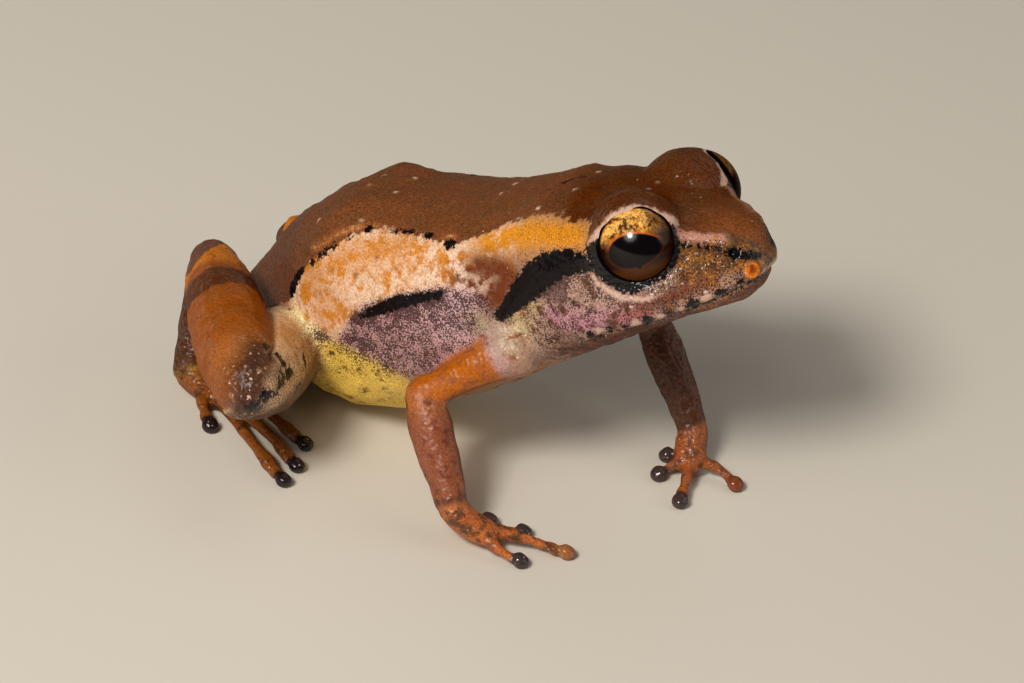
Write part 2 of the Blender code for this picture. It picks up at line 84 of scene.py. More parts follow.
def copy_of_nodes(names, name):
    """One object, in millimetres, with copies of these nodes' meshes, each closed again."""
    copies = []
    for node in names:
        piece = bpy.data.objects.new(name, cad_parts[node].data.copy())
        bpy.context.collection.objects.link(piece)
        copies.append(piece)
    bpy.ops.object.select_all(action="DESELECT")
    for piece in copies:
        piece.select_set(True)
    bpy.context.view_layer.objects.active = copies[0]
    bpy.ops.object.join()
    piece = bpy.context.object
    piece.name = name
    bpy.ops.object.mode_set(mode="EDIT")
    bpy.ops.mesh.select_all(action="SELECT")
    bpy.ops.mesh.remove_doubles(threshold=0.000001)
    bpy.ops.object.mode_set(mode="OBJECT")
    resize_mesh(1 / MM)
    return piece


def finish_with(piece, kind, **values):
    """Adds a modifier with these values and applies it."""
    modifier = piece.modifiers.new(kind.lower(), kind)
    for key, value in values.items():
        setattr(modifier, key, value)
    bpy.context.view_layer.objects.active = piece
    bpy.ops.object.modifier_apply(modifier=modifier.name)


def read_vertices(piece, key="co"):
    """The vertices' places as an array, or their normals."""
    flat = np.empty(len(piece.data.vertices) * 3, np.float32)
    piece.data.vertices.foreach_get(key, flat)
    return flat.reshape(-1, 3).astype(float)


def put_places(piece, points):
    """Gives the vertices new places."""
    piece.data.vertices.foreach_set("co", points.astype(np.float32).ravel())
    piece.data.update()


def ramp(value, low, high):
    """A smooth step from 0 at low to 1 at high."""
    share = np.clip((value - low) / (high - low), 0, 1)
    return share * share * (3 - 2 * share)


def group_by(piece, name, weights, steps=10):
    """A vertex group whose weights are these shares, rounded to a few steps."""
    group = piece.vertex_groups.new(name=name)
    rounded = np.round(np.clip(weights, 0, 1) * steps).astype(int)
    for step in range(1, steps + 1):
        group.add(np.flatnonzero(rounded == step).tolist(), step / steps, "REPLACE")
    return group


surfaces = {}
for node in flesh_nodes:
    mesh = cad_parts[node].data
    corners = [vertex.co / MM for vertex in mesh.vertices]
    surfaces[node] = BVHTree.FromPolygons(corners, [tuple(face.vertices) for face in mesh.polygons])


def gap_to(node, points):
    """Each point's distance to a node's solid, or far_away beyond its reach."""
    low, high = [np.array(corner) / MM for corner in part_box(node)]
    near = np.all((points > low - gap_reach) & (points < high + gap_reach), axis=1)
    gap = np.full(len(points), far_away)
    for i in np.flatnonzero(near):
        gap[i] = surfaces[node].find_nearest(Vector(points[i]))[3]
    return gap


def paw_share(points):
    """1 in the boxes round the hands and the feet and 0 elsewhere, softly between."""
    share = np.zeros(len(points))
    for node in paw_nodes:
        low, high = [np.array(corner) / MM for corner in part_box(node)]
        outside = np.maximum(low - points, points - high).max(axis=1)
        share = np.maximum(share, 1 - ramp(outside, -0.2, 0.8))
    return share


def swelling_share(points):
    """The share of the swelling at each point, less on the digits, which must not grow together."""
    joint_gap = np.full(len(points), far_away)
    for node in paw_nodes:
        limb = node.replace("hand", "forearm").replace("foot", "tarsus")
        joint_gap = np.minimum(joint_gap, gap_to(limb, points))
    return 1 - paw_thinning * paw_share(points) * ramp(joint_gap, 0.4, 1.4)


skin = copy_of_nodes(flesh_nodes, "skin")
group = group_by(skin, "swelling", swelling_share(read_vertices(skin)))
finish_with(skin, "DISPLACE", strength=clay_swelling, mid_level=0, vertex_group=group.name)
finish_with(skin, "REMESH", mode="VOXEL", voxel_size=clay_voxel)
group = group_by(skin, "shrinking", swelling_share(read_vertices(skin)))
finish_with(skin, "DISPLACE", strength=-clay_swelling, mid_level=0, vertex_group=group.name)
finish_with(skin, "SMOOTH", factor=0.5, iterations=first_softening)

in_paws = paw_share(read_vertices(skin))
group_by(skin, "broad_parts", 1 - in_paws)
finish_with(skin, "SMOOTH", factor=0.5, iterations=body_softening, vertex_group="broad_parts")

# The eyelids.
# Each eye has a thick upper fold and a thinner lower one, drawn tight round the ball. Their free edge lies
# on the cornea, a rounded rim of pale skin above and a dark wet ring behind and below.

sitting_angle = math.radians(27)
spine_along = Vector((math.cos(sitting_angle), 0, math.sin(sitting_angle)))
spine_upward = Vector((-math.sin(sitting_angle), 0, math.cos(sitting_angle)))
eye_place = (28.74, 3.654, 2.678)
eye_axis = (0.537, 0.84, 0.2)
eye_radius = 2.4
lid_reach = 2.15
lid_end = 3.1
lid_thinning = (0.22, 0.42)
upper_lid_drop = 0.78
worked_width = 4.0
worked_distance = 4.2
rim_height = 0.1
rim_width = 0.24
rim_offset = 0.25

eyes_middle = (box_middle("eye_right") + box_middle("eye_left")) / 2
spine_start = eyes_middle - spine_along * eye_place[0] - spine_upward * eye_place[2]


def spine_places(points):
    """Places in millimetres as (s, w, n), with w below 0 on the frog's right."""
    away = points - np.array(spine_start)
    return np.stack([away @ np.array(spine_along), away[:, 1], away @ np.array(spine_upward)], axis=1)


def eye_frame(side):
    """The eyeball's middle and its forward, upward and outward directions, for side -1 right or 1 left."""
    outward = spine_along * eye_axis[0] + Vector((0, side * eye_axis[1], 0)) + spine_upward * eye_axis[2]
    outward.normalize()
    upward = (spine_upward - outward * spine_upward.dot(outward)).normalized()
    forward = outward.cross(upward) * side
    middle = box_middle("eye_right" if side < 0 else "eye_left")
    return np.array(middle), np.array((forward, upward, outward))


def eye_places(points, side):
    """Places as (forward, upward, outward) from an eyeball's middle."""
    middle, directions = eye_frame(side)
    return (points - middle) @ directions.T


def from_eye(local, side):
    """Places in millimetres for places round an eyeball."""
    middle, directions = eye_frame(side)
    return local @ directions + middle


clay = read_vertices(skin)
for side in (-1, 1):
    local = eye_places(clay, side)
    across = np.hypot(local[:, 0], local[:, 1])
    distance = np.linalg.norm(local, axis=1)
    near = (local[:, 2] > 0) & (across < worked_width) & (distance < worked_distance)
    margin = near * (1 - ramp(across, lid_reach, lid_end))
    turn_up = local[:, 1] / np.maximum(across, 0.01)
    rising = ramp(turn_up, 0.1, 0.8)
    local[:, 1] -= upper_lid_drop * margin * rising
    low_back = ramp(-turn_up * 0.8 - local[:, 0] / np.maximum(across, 0.01) * 0.6, -0.1, 0.6)
    shrink = (lid_thinning[0] + (lid_thinning[1] - lid_thinning[0]) * low_back) * margin
    rim = rim_height * near * np.exp(-((across - lid_reach - rim_offset) / rim_width) ** 2)
    rim *= 0.5 + 0.5 * rising
    local *= ((distance - shrink + rim) / np.maximum(np.linalg.norm(local, axis=1), 0.01))[:, None]
    clay = np.where(near[:, None], from_eye(local, side), clay)
put_places(skin, clay)

# The mouth, the nostrils and the folds of the head.
# The lips meet in a fine line below a rounded upper lip. A fold runs over the ear from the eye to the
# shoulder, a round ear drum lies under it, and a blunt ridge goes from the eye to the nostril.

mouth_line = [
    (25.6, -2.4), (26.6, -2.0), (29.0, -1.75), (31.5, -1.45), (33.4, -1.0), (34.4, -0.8), (34.9, -0.55),
]
lip_roll = [(34.5, 0.6, -0.35), (33.5, 2.3, -0.6), (32.2, 3.3, -0.9), (30.0, 4.7, -1.2), (27.5, 5.6, -1.4)]
brow_ridge = [(30.9, 3.6, 2.75), (31.9, 2.85, 2.4), (32.8, 2.35, 2.05), (33.5, 1.9, 1.6)]
ear_fold = [
    (26.4, 5.5, 2.5), (25.0, 5.6, 2.3), (23.7, 5.6, 1.9), (22.4, 5.55, 1.2), (21.2, 5.5, 0.2),
    (20.3, 5.6, -0.7),
]
back_fold = [(7.5, 4.6, 3.2), (11.5, 4.2, 4.0), (15.5, 4.3, 3.7), (18.5, 4.5, 3.5), (22.0, 4.0, 4.2)]
ridges = [(lip_roll, 0.45, 0.12), (brow_ridge, 0.4, 0.13), (ear_fold, 0.45, 0.16), (back_fold, 0.5, 0.1)]
ear_drum = (24.25, 5.86, 0.96)
ear_drum_radius = 1.0
ear_drum_rim = 0.07
ear_drum_depth = 0.06
mouth_depth = 0.17
nostril_rim = 0.12
nostril_depth = 0.6
blister_height = 0.2
blister_dent = 0.09
nostril = (33.5, 1.75, 1.02)
blister = (34.3, -1.52, -0.12)


def to_line(points, line):
    """The least distance from each point to a line through these places."""
    nearest = np.full(len(points), 1e9)
    corners = [np.array(corner, float) for corner in line]
    for start, end in zip(corners, corners[1:]):
        run = end - start
        t = np.clip(((points - start) @ run) / (run @ run), 0, 1)
        nearest = np.minimum(nearest, ((points - start - t[:, None] * run) ** 2).sum(axis=1))
    return np.sqrt(nearest)


def to_place(points, place):
    """The distance from each point to a place."""
    return np.linalg.norm(points - np.array(place), axis=1)


def hump(distance, radius, height):
    """A rounded swelling, or a dent where the height is below 0."""
    return height * np.exp(-(distance / radius) ** 2)


def both_sides(points):
    """Places as (s, w, n) with w counted outwards on both sides."""
    body = spine_places(points)
    body[:, 1] = np.abs(body[:, 1])
    return body


body = both_sides(clay)
lips = body[:, 2] - np.interp(body[:, 0], *zip(*mouth_line))
in_head = ramp(body[:, 0], 24.9, 25.6) * (body[:, 2] > -4)
rise = hump(np.abs(lips), 0.13, -mouth_depth) * in_head
for line, radius, height in ridges:
    rise += hump(to_line(body, line), radius, height)
rise += hump(to_place(body, ear_drum) - ear_drum_radius, 0.22, ear_drum_rim)
rise -= ear_drum_depth * (1 - ramp(to_place(body, ear_drum), 0.6, 1.0))
from_nostril = to_place(body, nostril)
rise += hump(from_nostril, 0.5, nostril_rim) - hump(from_nostril, 0.26, nostril_depth)
on_blister = to_place(spine_places(clay), blister)
rise += blister_height * (1 - ramp(on_blister, 0.38, 0.62)) - hump(on_blister, 0.22, blister_dent)
clay += read_vertices(skin, "normal") * rise[:, None]
put_places(skin, clay)

# The warts and the wrinkles.
# Low round warts are strewn over the back, the lids and the flanks. The belly and the limbs are granular,
# and creases mark where the folded leg's parts press together. The finest grain is left to the material.

wart_count = 420
wart_seed = 11
wart_radius = (0.16, 0.34)
wart_height = (0.02, 0.065)
pale_warts = [
    (9.77, 0.84, 5.59), (11.64, 1.06, 5.24), (7.53, 3.35, 4.59), (10.92, 3.94, 4.66), (18.66, 0.78, 4.72),
    (22.59, 3.27, 4.75), (24.03, 1.4, 5.01), (28.24, 0.5, 4.45), (6.2, 2.2, 4.1), (14.9, 2.6, 4.9),
    (20.5, 2.4, 5.0), (16.6, 3.6, 4.3),
]
pale_wart_radius = 0.2
pale_wart_height = 0.09
grain_size = 0.55
grain_height = 0.05
unevenness_size = 1.6
unevenness_height = 0.12
crease_depth = 0.3
crease_width = 0.16
knee_place = (9.5, 15.9, -0.2)


def noise_at(points, size, seed=0.0):
    """Soft noise between about -1 and 1 at each point."""
    return np.array([noise.noise((x / size + seed, y / size, z / size)) for x, y, z in points.tolist()])


body = both_sides(clay)
facing = read_vertices(skin, "normal")
draw = np.random.default_rng(wart_seed)
on_back = np.flatnonzero((body[:, 0] > 1) & (body[:, 2] > 0) & (body[:, 1] < 7) & (body[:, 0] < 34.5))
rise = np.zeros(len(clay))
for chosen in draw.choice(on_back, wart_count):
    away = to_place(clay, clay[chosen])
    rise += hump(away, draw.uniform(*wart_radius), draw.uniform(*wart_height))
for wart in pale_warts:
    rise += hump(to_place(body, wart), pale_wart_radius, pale_wart_height)
grain = noise_at(clay, grain_size) * grain_height + noise_at(clay, unevenness_size, 7.3) * unevenness_height
eye_gap = np.minimum(*[np.linalg.norm(eye_places(clay, side), axis=1) for side in (-1, 1)])
steady = ramp(eye_gap, 2.7, 3.3) * (1 - 0.75 * in_paws)
rise = (rise + grain) * steady * ramp(clay[:, 2], 0.05, 0.5)
for side in ("_right", "_left"):
    for first, second in (("shank" + side, "thigh" + side), ("thigh" + side, "torso")):
        first_gap = gap_to(first, clay)
        second_gap = gap_to(second, clay)
        between = np.exp(-((first_gap - second_gap) / crease_width) ** 2)
        between *= (1 - ramp(first_gap + second_gap, 0.7, 1.5)) * ramp(to_place(body, knee_place), 1.8, 3.0)
        rise -= crease_depth * between
clay += facing * rise[:, None]
put_places(skin, clay)

# The digits.
# The fingers and toes are slender, with a slight swelling at each joint and a small round pad at the tip.
# The toes' pads are black, and the fingers' are grey, but for a bronze or a rusty one on each hand.

pad_black = (0.014, 0.007, 0.008)
pad_bronze = (0.32, 0.12, 0.035)
pad_grey = (0.05, 0.03, 0.028)
pad_rust = (0.20, 0.05, 0.015)
pad_radius = 0.5
pad_height = 0.42
neck_thinning = 0.05
knuckle_distance = 1.75
knuckle_height = 0.05
drawn_shift = np.array(spine_start) - np.array((-14.3, 0.0, 4.8))
pads = [
    (5.9, -6.3, pad_grey), (8.0, -5.9, pad_grey), (10.9, -5.9, pad_bronze), (9.3, -8.5, pad_grey),
    (10.5, 6.8, pad_grey), (11.1, 4.7, pad_grey), (13.4, 3.2, pad_grey), (15.1, 7.1, pad_rust),
]
toe_pads = [
    (-10.2, -5.2), (-6.0, -7.5), (-5.2, -9.7), (-5.0, -11.4), (-11.1, -9.9), (-11.2, 11.4), (-9.8, 13.5),
    (-8.3, 16.9), (-8.9, 18.9), (-13.6, 15.2),
]
pads += [(x, y, pad_black) for x, y in toe_pads]


def pad_middle(x, y):
    """The middle of a digit's pad in millimetres of the frame."""
    return np.array((x, y, pad_height)) + drawn_shift


rise = np.zeros(len(clay))
for x, y, colour in pads:
    away = to_place(clay, pad_middle(x, y))
    rise -= neck_thinning * ramp(away, 0.45, 0.8) * (1 - ramp(away, 1.3, 2.6))
    rise += np.where(away < 0.9, np.clip(pad_radius - away, -0.1, 0.15), 0) * (1 - ramp(away, 0.6, 0.9))
    rise += hump(away - knuckle_distance, 0.25, knuckle_height)
lowest = clay[:, 2].min()
clay += read_vertices(skin, "normal") * (rise * in_paws)[:, None]
clay[:, 2] = np.maximum(clay[:, 2], lowest)
put_places(skin, clay)
finish_with(skin, "SMOOTH", factor=0.4, iterations=2)

finish_with(skin, "DECIMATE", ratio=skin_triangles / (2 * len(skin.data.polygons)))
skin_places = read_vertices(skin)
skin_facing = read_vertices(skin, "normal")
bpy.ops.object.select_all(action="DESELECT")
skin.select_set(True)
resize_mesh(MM)
bpy.ops.object.shade_smooth()
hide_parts(*flesh_nodes)
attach(skin, "root")

# The colours of the trunk and the head.
# The skin has its colours in it. Here they are laid on as soft washes of paint, one over another: the brown
# back, the cream and orange flank, the grey lower side, the yellow groin and the pink and olive face.

back_brown = (0.185, 0.058, 0.018)
crown_brown = (0.092, 0.019, 0.0)
rump_brown = (0.145, 0.05, 0.026)
edge_orange = (0.36, 0.11, 0.03)
bead_orange = (0.80, 0.36, 0.12)
belly_cream = (0.42, 0.22, 0.12)
flank_cream = (0.80, 0.56, 0.40)
flank_orange = (0.62, 0.225, 0.03)
dot_brown = (0.22, 0.07, 0.015)
neck_orange = (0.68, 0.26, 0.016)
neck_red_brown = (0.15, 0.033, 0.008)
side_grey = (0.47, 0.26, 0.26)
side_light = (0.62, 0.40, 0.43)
groin_yellow = (0.80, 0.53, 0.10)
groin_pale = (0.78, 0.66, 0.36)
armpit_grey = (0.36, 0.27, 0.18)
jaw_corner_cream = (0.60, 0.43, 0.20)
cheek_pink = (0.50, 0.23, 0.29)
cheek_grey = (0.44, 0.27, 0.21)
cheek_red = (0.55, 0.16, 0.13)
throat_brown_and_shade = (0.19, 0.045, 0.008)
ear_grey = (0.20, 0.11, 0.10)
face_olive = (0.15, 0.062, 0.014)
lip_pink = (0.2, 0.062, 0.03)
snout_orange = (0.42, 0.15, 0.02)
brow_pink = (0.52, 0.25, 0.19)
rust_brown = (0.12, 0.045, 0.022)

back_edge = [
    (-2.0, -4.5), (4.6, -1.6), (5.1, -0.4), (5.7, 1.0), (6.5, 1.95), (7.35, 2.7), (8.95, 3.45),
    (10.4, 4.1), (11.75, 4.32), (13.5, 4.05), (15.65, 3.68), (17.3, 3.25), (18.35, 3.5), (19.6, 3.75),
    (20.9, 4.2), (22.9, 4.6), (24.3, 4.4), (25.6, 4.1), (26.5, 4.25), (27.5, 4.75), (29.6, 5.0),
    (30.8, 4.0), (31.4, 3.05), (32.2, 2.75), (33.1, 2.4), (33.7, 2.0), (34.3, 1.3), (35.2, 0.4),
]
above_edge = [
    (8.2, 5.0, 3.6), (9.6, 4.7, 4.2), (11.0, 4.4, 4.5), (12.5, 4.1, 4.55), (14.5, 4.05, 4.35),
    (16.0, 4.2, 4.05), (17.3, 4.5, 3.7),
]
crown_edge = [
    (24.5, 3.4), (30.4, 3.3), (31.0, 3.0), (31.6, 2.45), (32.35, 2.1), (33.0, 1.6), (33.6, 1.1),
    (34.4, 0.5), (35.0, 0.2),
]
grey_top = [
    (7.0, -3.2), (8.5, -2.0), (9.6, -1.0), (10.3, -0.2), (11.2, 0.4), (14.0, 0.9), (16.5, 1.15),
    (18.4, 0.95), (19.4, 0.4), (20.2, -0.7),
]
yellow_top = [
    (3.0, 0.6), (5.8, -0.2), (6.9, -0.85), (8.0, -1.4), (9.3, -1.95), (10.6, -2.6), (11.7, -3.3),
    (13.2, -4.6),
]
flank_dots = [
    (11.1, 5.94, 2.27), (11.3, 6.0, 1.7), (13.7, 5.74, 2.36), (9.3, 5.9, 2.4), (12.5, 5.6, 3.1),
    (10.2, 5.9, 1.4), (14.9, 5.7, 2.5), (8.2, 6.0, 1.2),
]
bead_run = (7.8, 17.6)
bead_step = 0.3
bead_spread = 0.1
brow_streak = [(31.2, 3.4, 3.1), (31.6, 2.75, 2.55), (32.35, 2.4, 2.2), (33.1, 1.9, 1.95)]

body = both_sides(skin_places)
s, w, n = body.T
count = len(skin_places)


def wash(colour):
    """A coat of one colour for the whole skin, with no paint laid over it yet."""
    return np.tile(np.array(colour + (1.0,)), (count, 1))


def lay(colour, share, *coats):
    """Lays a colour over part of the side's coat, or of these coats."""
    share = np.clip(share, 0, 1)[:, None]
    for coat in coats or (side_coat,):
        coat[:, :3] += (np.array(colour) - coat[:, :3]) * share


def over(line):
    """How far each point is above a line of (s, n) places, in millimetres."""
    side = np.sign(n - np.interp(s, *zip(*line)))
    flat = np.stack([s, n], axis=1)
    return side * to_line(flat, line)


def patch(place, radius):
    """A soft round patch."""
    return hump(to_place(body, place), radius, 1)


def streak(line, radius):
    """A soft band along a line."""
    return hump(to_line(body, line), radius, 1)


side_coat = wash(belly_cream)
mottle_coat = wash(rust_brown)
mottle_share = np.full(count, 0.25)
pepper = np.full(count, 0.16)
flecks = np.full(count, -0.2)

over_mouth = over(mouth_line)
above_grey = ramp(over(grey_top), -0.35, 0.45)
below_yellow = ramp(-over(yellow_top), -0.5, 0.5)
lay(side_grey, ramp(n, -5.0, -3.4) * ramp(21.0 - s, 0, 1.2))
pepper += 0.42 * ramp(n, -5.6, -3.2) * ramp(21.5 - s, 0, 1.5)
lay(groin_yellow, below_yellow * ramp(13.6 - s, 0, 2.0))
lay(groin_pale, 1.3 * streak([(6.4, 6.2, -0.2), (7.5, 6.3, -0.9)], 0.75))
pepper -= 0.3 * below_yellow * ramp(13.0 - s, 0, 2.0)
cream = above_grey * (1 - below_yellow) * ramp(22.0 - s, 0, 1.0)
lay(flank_cream, cream)
lay(flank_orange, cream, mottle_coat)
mottle_share += 0.2 * cream
for dot in flank_dots:
    dot_share = 0.8 * cream * (1 - ramp(to_place(body, dot), 0.1, 0.26))
    lay(dot_brown, dot_share, side_coat, mottle_coat)
orange_band = streak([(7.5, 5.2, 2.0), (11.0, 5.2, 3.0), (14.0, 4.9, 3.3)], 1.1)
lay(flank_orange, 0.75 * orange_band * cream)
lay(flank_orange, 0.55 * patch((8.6, 6.2, 0.0), 1.5) * cream)
pepper -= 0.8 * cream
pepper += hump(over(back_edge), 0.3, 0.45) * (s > 4.5) * (s < 18)
pepper += 0.4 * patch((7.6, 6.3, -1.3), 0.7)
pepper += hump(over(yellow_top), 0.8, 0.3) * ramp(s, 5.0, 7.0) * ramp(13.0 - s, 0, 2.0)
lay(side_light, 0.8 * patch((17.2, 6.0, -0.4), 1.7))
lay(armpit_grey, patch((18.6, 5.8, -1.1), 0.95))
pepper -= 0.4 * patch((18.9, 5.8, -1.3), 0.9)
behind_eye = streak([(19.6, 4.6, 3.2), (21.6, 4.6, 3.7), (23.6, 4.8, 3.9), (25.6, 4.9, 3.7)], 0.95)
lay(neck_orange, 1.15 * behind_eye)
lay(flank_cream, behind_eye, mottle_coat)
mottle_share -= 0.2 * behind_eye

on_cheek = ramp(s, 20.4, 21.6) * ramp(2.4 - n, 0, 1.0)
lay(cheek_grey, on_cheek * (1 - behind_eye))
lay(cheek_pink, 1.1 * streak([(23.6, 6.0, -0.8), (25.5, 6.0, -1.0), (29.2, 5.4, -0.9)], 0.75))
wedge = streak([(19.0, 5.1, 2.2), (20.9, 5.1, 2.0), (20.4, 5.4, 1.0), (19.7, 5.6, 0.1)], 0.85)
lay(neck_red_brown, 1.05 * wedge)
lay(neck_red_brown, 1.5 * streak([(18.4, 5.6, 1.3), (20.4, 5.4, 1.4), (20.0, 5.6, 0.3)], 1.2), mottle_coat)
mottle_share += 0.1 * wedge
lay(cheek_red, 1.1 * streak([(27.6, 5.8, -0.9), (29.4, 5.3, -0.85)], 0.32))
lay(jaw_corner_cream, patch((20.9, 5.5, -1.4), 0.9) + 0.8 * patch((22.2, 5.6, 0.0), 0.7))
pepper += (0.48 - pepper) * on_cheek
flecks += 0.16 * on_cheek
mottle_share += 0.1 * on_cheek
on_drum = 1 - ramp(to_place(body, ear_drum), 0.8, 1.1)
lay(ear_grey, on_drum, side_coat, mottle_coat)
# Under the jaw the throat is painted dark brown, painted shade over its paler skin.
below_mouth = ramp(-over_mouth, 0.0, 0.3) * ramp(s, 24.0, 25.5)
under_jaw = np.maximum(below_mouth, ramp(-n, 2.2, 3.4) * ramp(s, 21.5, 24.0))
lay(throat_brown_and_shade, under_jaw)
pepper += (0.62 - pepper) * under_jaw
lay(face_olive, ramp(s, 30.4, 31.4) * ramp(n, -0.2, 0.5))
lay(snout_orange, ramp(s, 30.2, 31.0), mottle_coat)
lay(face_olive, 0.7 * ramp(s, 33.2, 34.0) * ramp(n, -0.8, -0.3))
lay(lip_pink, 1.1 * streak([(29.2, 5.3, -0.5), (31.2, 4.2, -0.25), (32.6, 3.2, 0.0)], 0.5))
# The pink brow stripe is pink skin with painted light: stronger on the right, lit side and weaker on the
# left.
brow_strength_by_light = np.where(skin_places[:, 1] < eyes_middle.y, 1.3, 0.5)
lay(brow_pink, brow_strength_by_light * streak(brow_streak, 0.32))

back_coat = wash(back_brown)
lay(crown_brown, ramp(s, 22.0, 25.0), back_coat)
lay(rump_brown, ramp(8.0 - s, 0, 3.5), back_coat)
lay(edge_orange, 0.7 * streak(above_edge, 0.3), back_coat)
edge_s, edge_w, edge_n = zip(*above_edge)
beads = np.arange(*bead_run, bead_step)
for bead_s in beads + draw.uniform(-bead_spread, bead_spread, len(beads)):
    bead_w = np.interp(bead_s, edge_s, edge_w)
    bead_n = np.interp(bead_s, edge_s, edge_n) + draw.uniform(-bead_spread, bead_spread)
    bead_gap = np.sqrt((s - bead_s) ** 2 + (n - bead_n) ** 2 + 0.3 * (w - bead_w) ** 2)
    lay(bead_orange, draw.uniform(0.3, 0.9) * (1 - ramp(bead_gap, 0.06, 0.2)), back_coat)
lay(edge_orange, 0.4 * ramp(s, 30.5, 33.5), back_coat)
for wart in pale_warts:
    lay(flank_cream, 0.8 * (1 - ramp(to_place(body, wart), 0.08, 0.2)), back_coat)

crown_field = np.minimum(np.interp(s, *zip(*crown_edge)) - w, 2 * (n - 0.5))
back_field = np.where(s > 24.5, np.maximum(over(back_edge), crown_field), over(back_edge))

# The dark marks.
# Black and dark brown pigment: a band over the ear, a stripe from the eye through the nostril, a ragged
# streak along the flank, dashes under the edge of the back, a wet ring round each eye and bars on the lip.
# The nostrils' pits and the mouth's slit are painted black too, as painted shade.

unmarked = 3.0
nostril_shade_radius = 0.4
lid_opening = 2.2
upper_lid_cover = 0.54
dark_ring_width = 0.58
pale_rim = (0.3, 0.2)
lid_top_offset = 0.55
lower_rim = (3.05, 0.13)
lip_strip_place = (0.34, 0.26)
mouth_shade_half_width = 0.035
ear_band = [
    (26.6, 5.4, 2.2, 0.5), (25.2, 5.5, 2.35, 0.75), (23.8, 5.5, 2.0, 0.92), (22.6, 5.5, 1.3, 0.92),
    (21.5, 5.5, 0.5, 0.72), (20.6, 5.55, -0.2, 0.5), (19.9, 5.6, -0.75, 0.36),
]
flank_streak = [
    (11.0, 6.5, -0.2, 0.12), (12.2, 6.5, 0.2, 0.34), (13.9, 6.35, 0.6, 0.38), (15.5, 6.2, 0.75, 0.36),
    (16.6, 6.0, 0.85, 0.2),
]
face_stripe = [
    (31.1, 3.6, 2.2, 0.18), (31.65, 2.95, 2.1, 0.2), (32.3, 2.6, 1.8, 0.2), (32.95, 2.1, 1.5, 0.26),
    (33.6, 1.75, 1.05, 0.34), (34.1, 1.4, 0.7, 0.26), (34.6, 0.8, 0.45, 0.2),
]
edge_dashes = [
    [(5.5, 5.2, 0.75, 0.26), (6.1, 5.2, 1.6, 0.32), (6.8, 5.2, 2.3, 0.22)],
    [(7.7, 5.3, 2.7, 0.26), (7.8, 5.3, 2.75, 0.26)], [(8.4, 5.3, 3.1, 0.22), (9.5, 5.1, 3.6, 0.25)],
    [(10.2, 4.8, 3.95, 0.17), (10.5, 4.7, 4.05, 0.17)],
    [(11.4, 4.3, 3.95, 0.27), (11.6, 4.3, 4.35, 0.25)],
    [(13.0, 4.15, 3.95, 0.2), (14.3, 4.15, 3.8, 0.26)], [(15.4, 4.3, 3.65, 0.28), (15.7, 4.3, 3.6, 0.28)],
    [(17.0, 4.7, 3.35, 0.25), (17.3, 4.7, 3.28, 0.27)],
]
nape_marks = [
    [(22.0, -1.05, 5.05, 0.1), (22.3, -0.85, 5.07, 0.12)],
    [(22.6, -0.45, 5.09, 0.12), (23.2, 0.2, 5.03, 0.16), (23.6, 0.7, 4.95, 0.1)],
]


def stroke(line, points=body):
    """How far each point is outside a line of (s, w, n, half width) steps, below 0 inside it."""
    outside = np.full(count, far_away)
    for start, end in zip(np.array(line), np.array(line[1:])):
        run = (end - start)[:3]
        away = points - start[:3]
        t = np.clip((away @ run) / (run @ run), 0, 1)
        gap = np.linalg.norm(away - t[:, None] * run, axis=1)
        outside = np.minimum(outside, gap - start[3] - t * (end[3] - start[3]))
    return outside


dark_field = np.full(count, unmarked)
for mark in [ear_band, flank_streak, face_stripe] + edge_dashes:
    dark_field = np.minimum(dark_field, stroke(mark))
# Painted shade: each nostril's pit is painted black.
dark_field = np.minimum(dark_field, to_place(body, nostril) - nostril_shade_radius)
right_places = spine_places(skin_places)
for mark in nape_marks:
    dark_field = np.minimum(dark_field, stroke(mark, right_places))
on_blister = to_place(right_places, blister)
pepper += 0.45 * np.exp(-np.maximum(stroke(flank_streak), 0) / 0.6)
pepper += 0.25 * np.exp(-np.maximum(stroke(ear_band), 0) / 0.3)
band_field = np.full(count, unmarked)
pale_field = np.full(count, unmarked)

for side in (-1, 1):
    local = eye_places(skin_places, side)
    across = np.hypot(local[:, 0], local[:, 1])
    outer = local[:, 2] > 0.2
    turn = local[:, 1] / np.maximum(across, 0.01)
    upper = ramp(turn, 0.05, 0.5)
    opening = lid_opening - upper_lid_cover * ramp(turn, 0.1, 0.8)
    backward = ramp(-local[:, 0] / np.maximum(across, 0.01), -0.3, 0.5)
    ring_reach = opening + 0.04 + dark_ring_width * (1 - upper) * (0.25 + 0.75 * backward)
    dark_field = np.minimum(dark_field, np.where(outer, across - ring_reach, unmarked))
    # The pale rim along each upper lid is pale skin, made brighter with a painted highlight.
    rim = np.where(outer, np.abs(across - opening - pale_rim[0]) - pale_rim[1], unmarked)
    pale_field = np.minimum(pale_field, rim + 0.6 * (1 - ramp(turn, -0.05, 0.3)))
    on_lid = outer & (turn > 0) & (across < 3.8) & (s < 31.3)
    lid_top = np.where(on_lid, np.minimum(across - opening - lid_top_offset, 3 * turn), -far_away)
    back_field = np.maximum(back_field, lid_top)
    low_rim = np.abs(across - lower_rim[0]) - lower_rim[1] + 0.6 * ramp(turn, -0.5, 0.1)
    pale_low = np.where(outer, low_rim, unmarked)
    pale_field = np.minimum(pale_field, pale_low + 0.4 * ramp(local[:, 0], 0.2, 1.2))

on_lip = (s > 25) & (np.abs(over_mouth - 0.25) < 1.0)
lip_bars = 0.7 * np.sin(s * 5.5 + 0.8) + 0.5 * np.sin(s * 3.3 + 2)
lip_strip = np.abs(over_mouth - lip_strip_place[0]) - lip_strip_place[1]
dark_field = np.minimum(dark_field, np.where(on_lip, lip_strip + 0.35 * (0.75 + lip_bars), unmarked))
pale_field = np.minimum(pale_field, np.where(on_lip, lip_strip + 0.35 * (0.95 - lip_bars), unmarked))
# Painted shade: a fine black line along the mouth's slit.
dark_field = np.minimum(dark_field, np.where(s > 25, np.abs(over_mouth) - mouth_shade_half_width, unmarked))
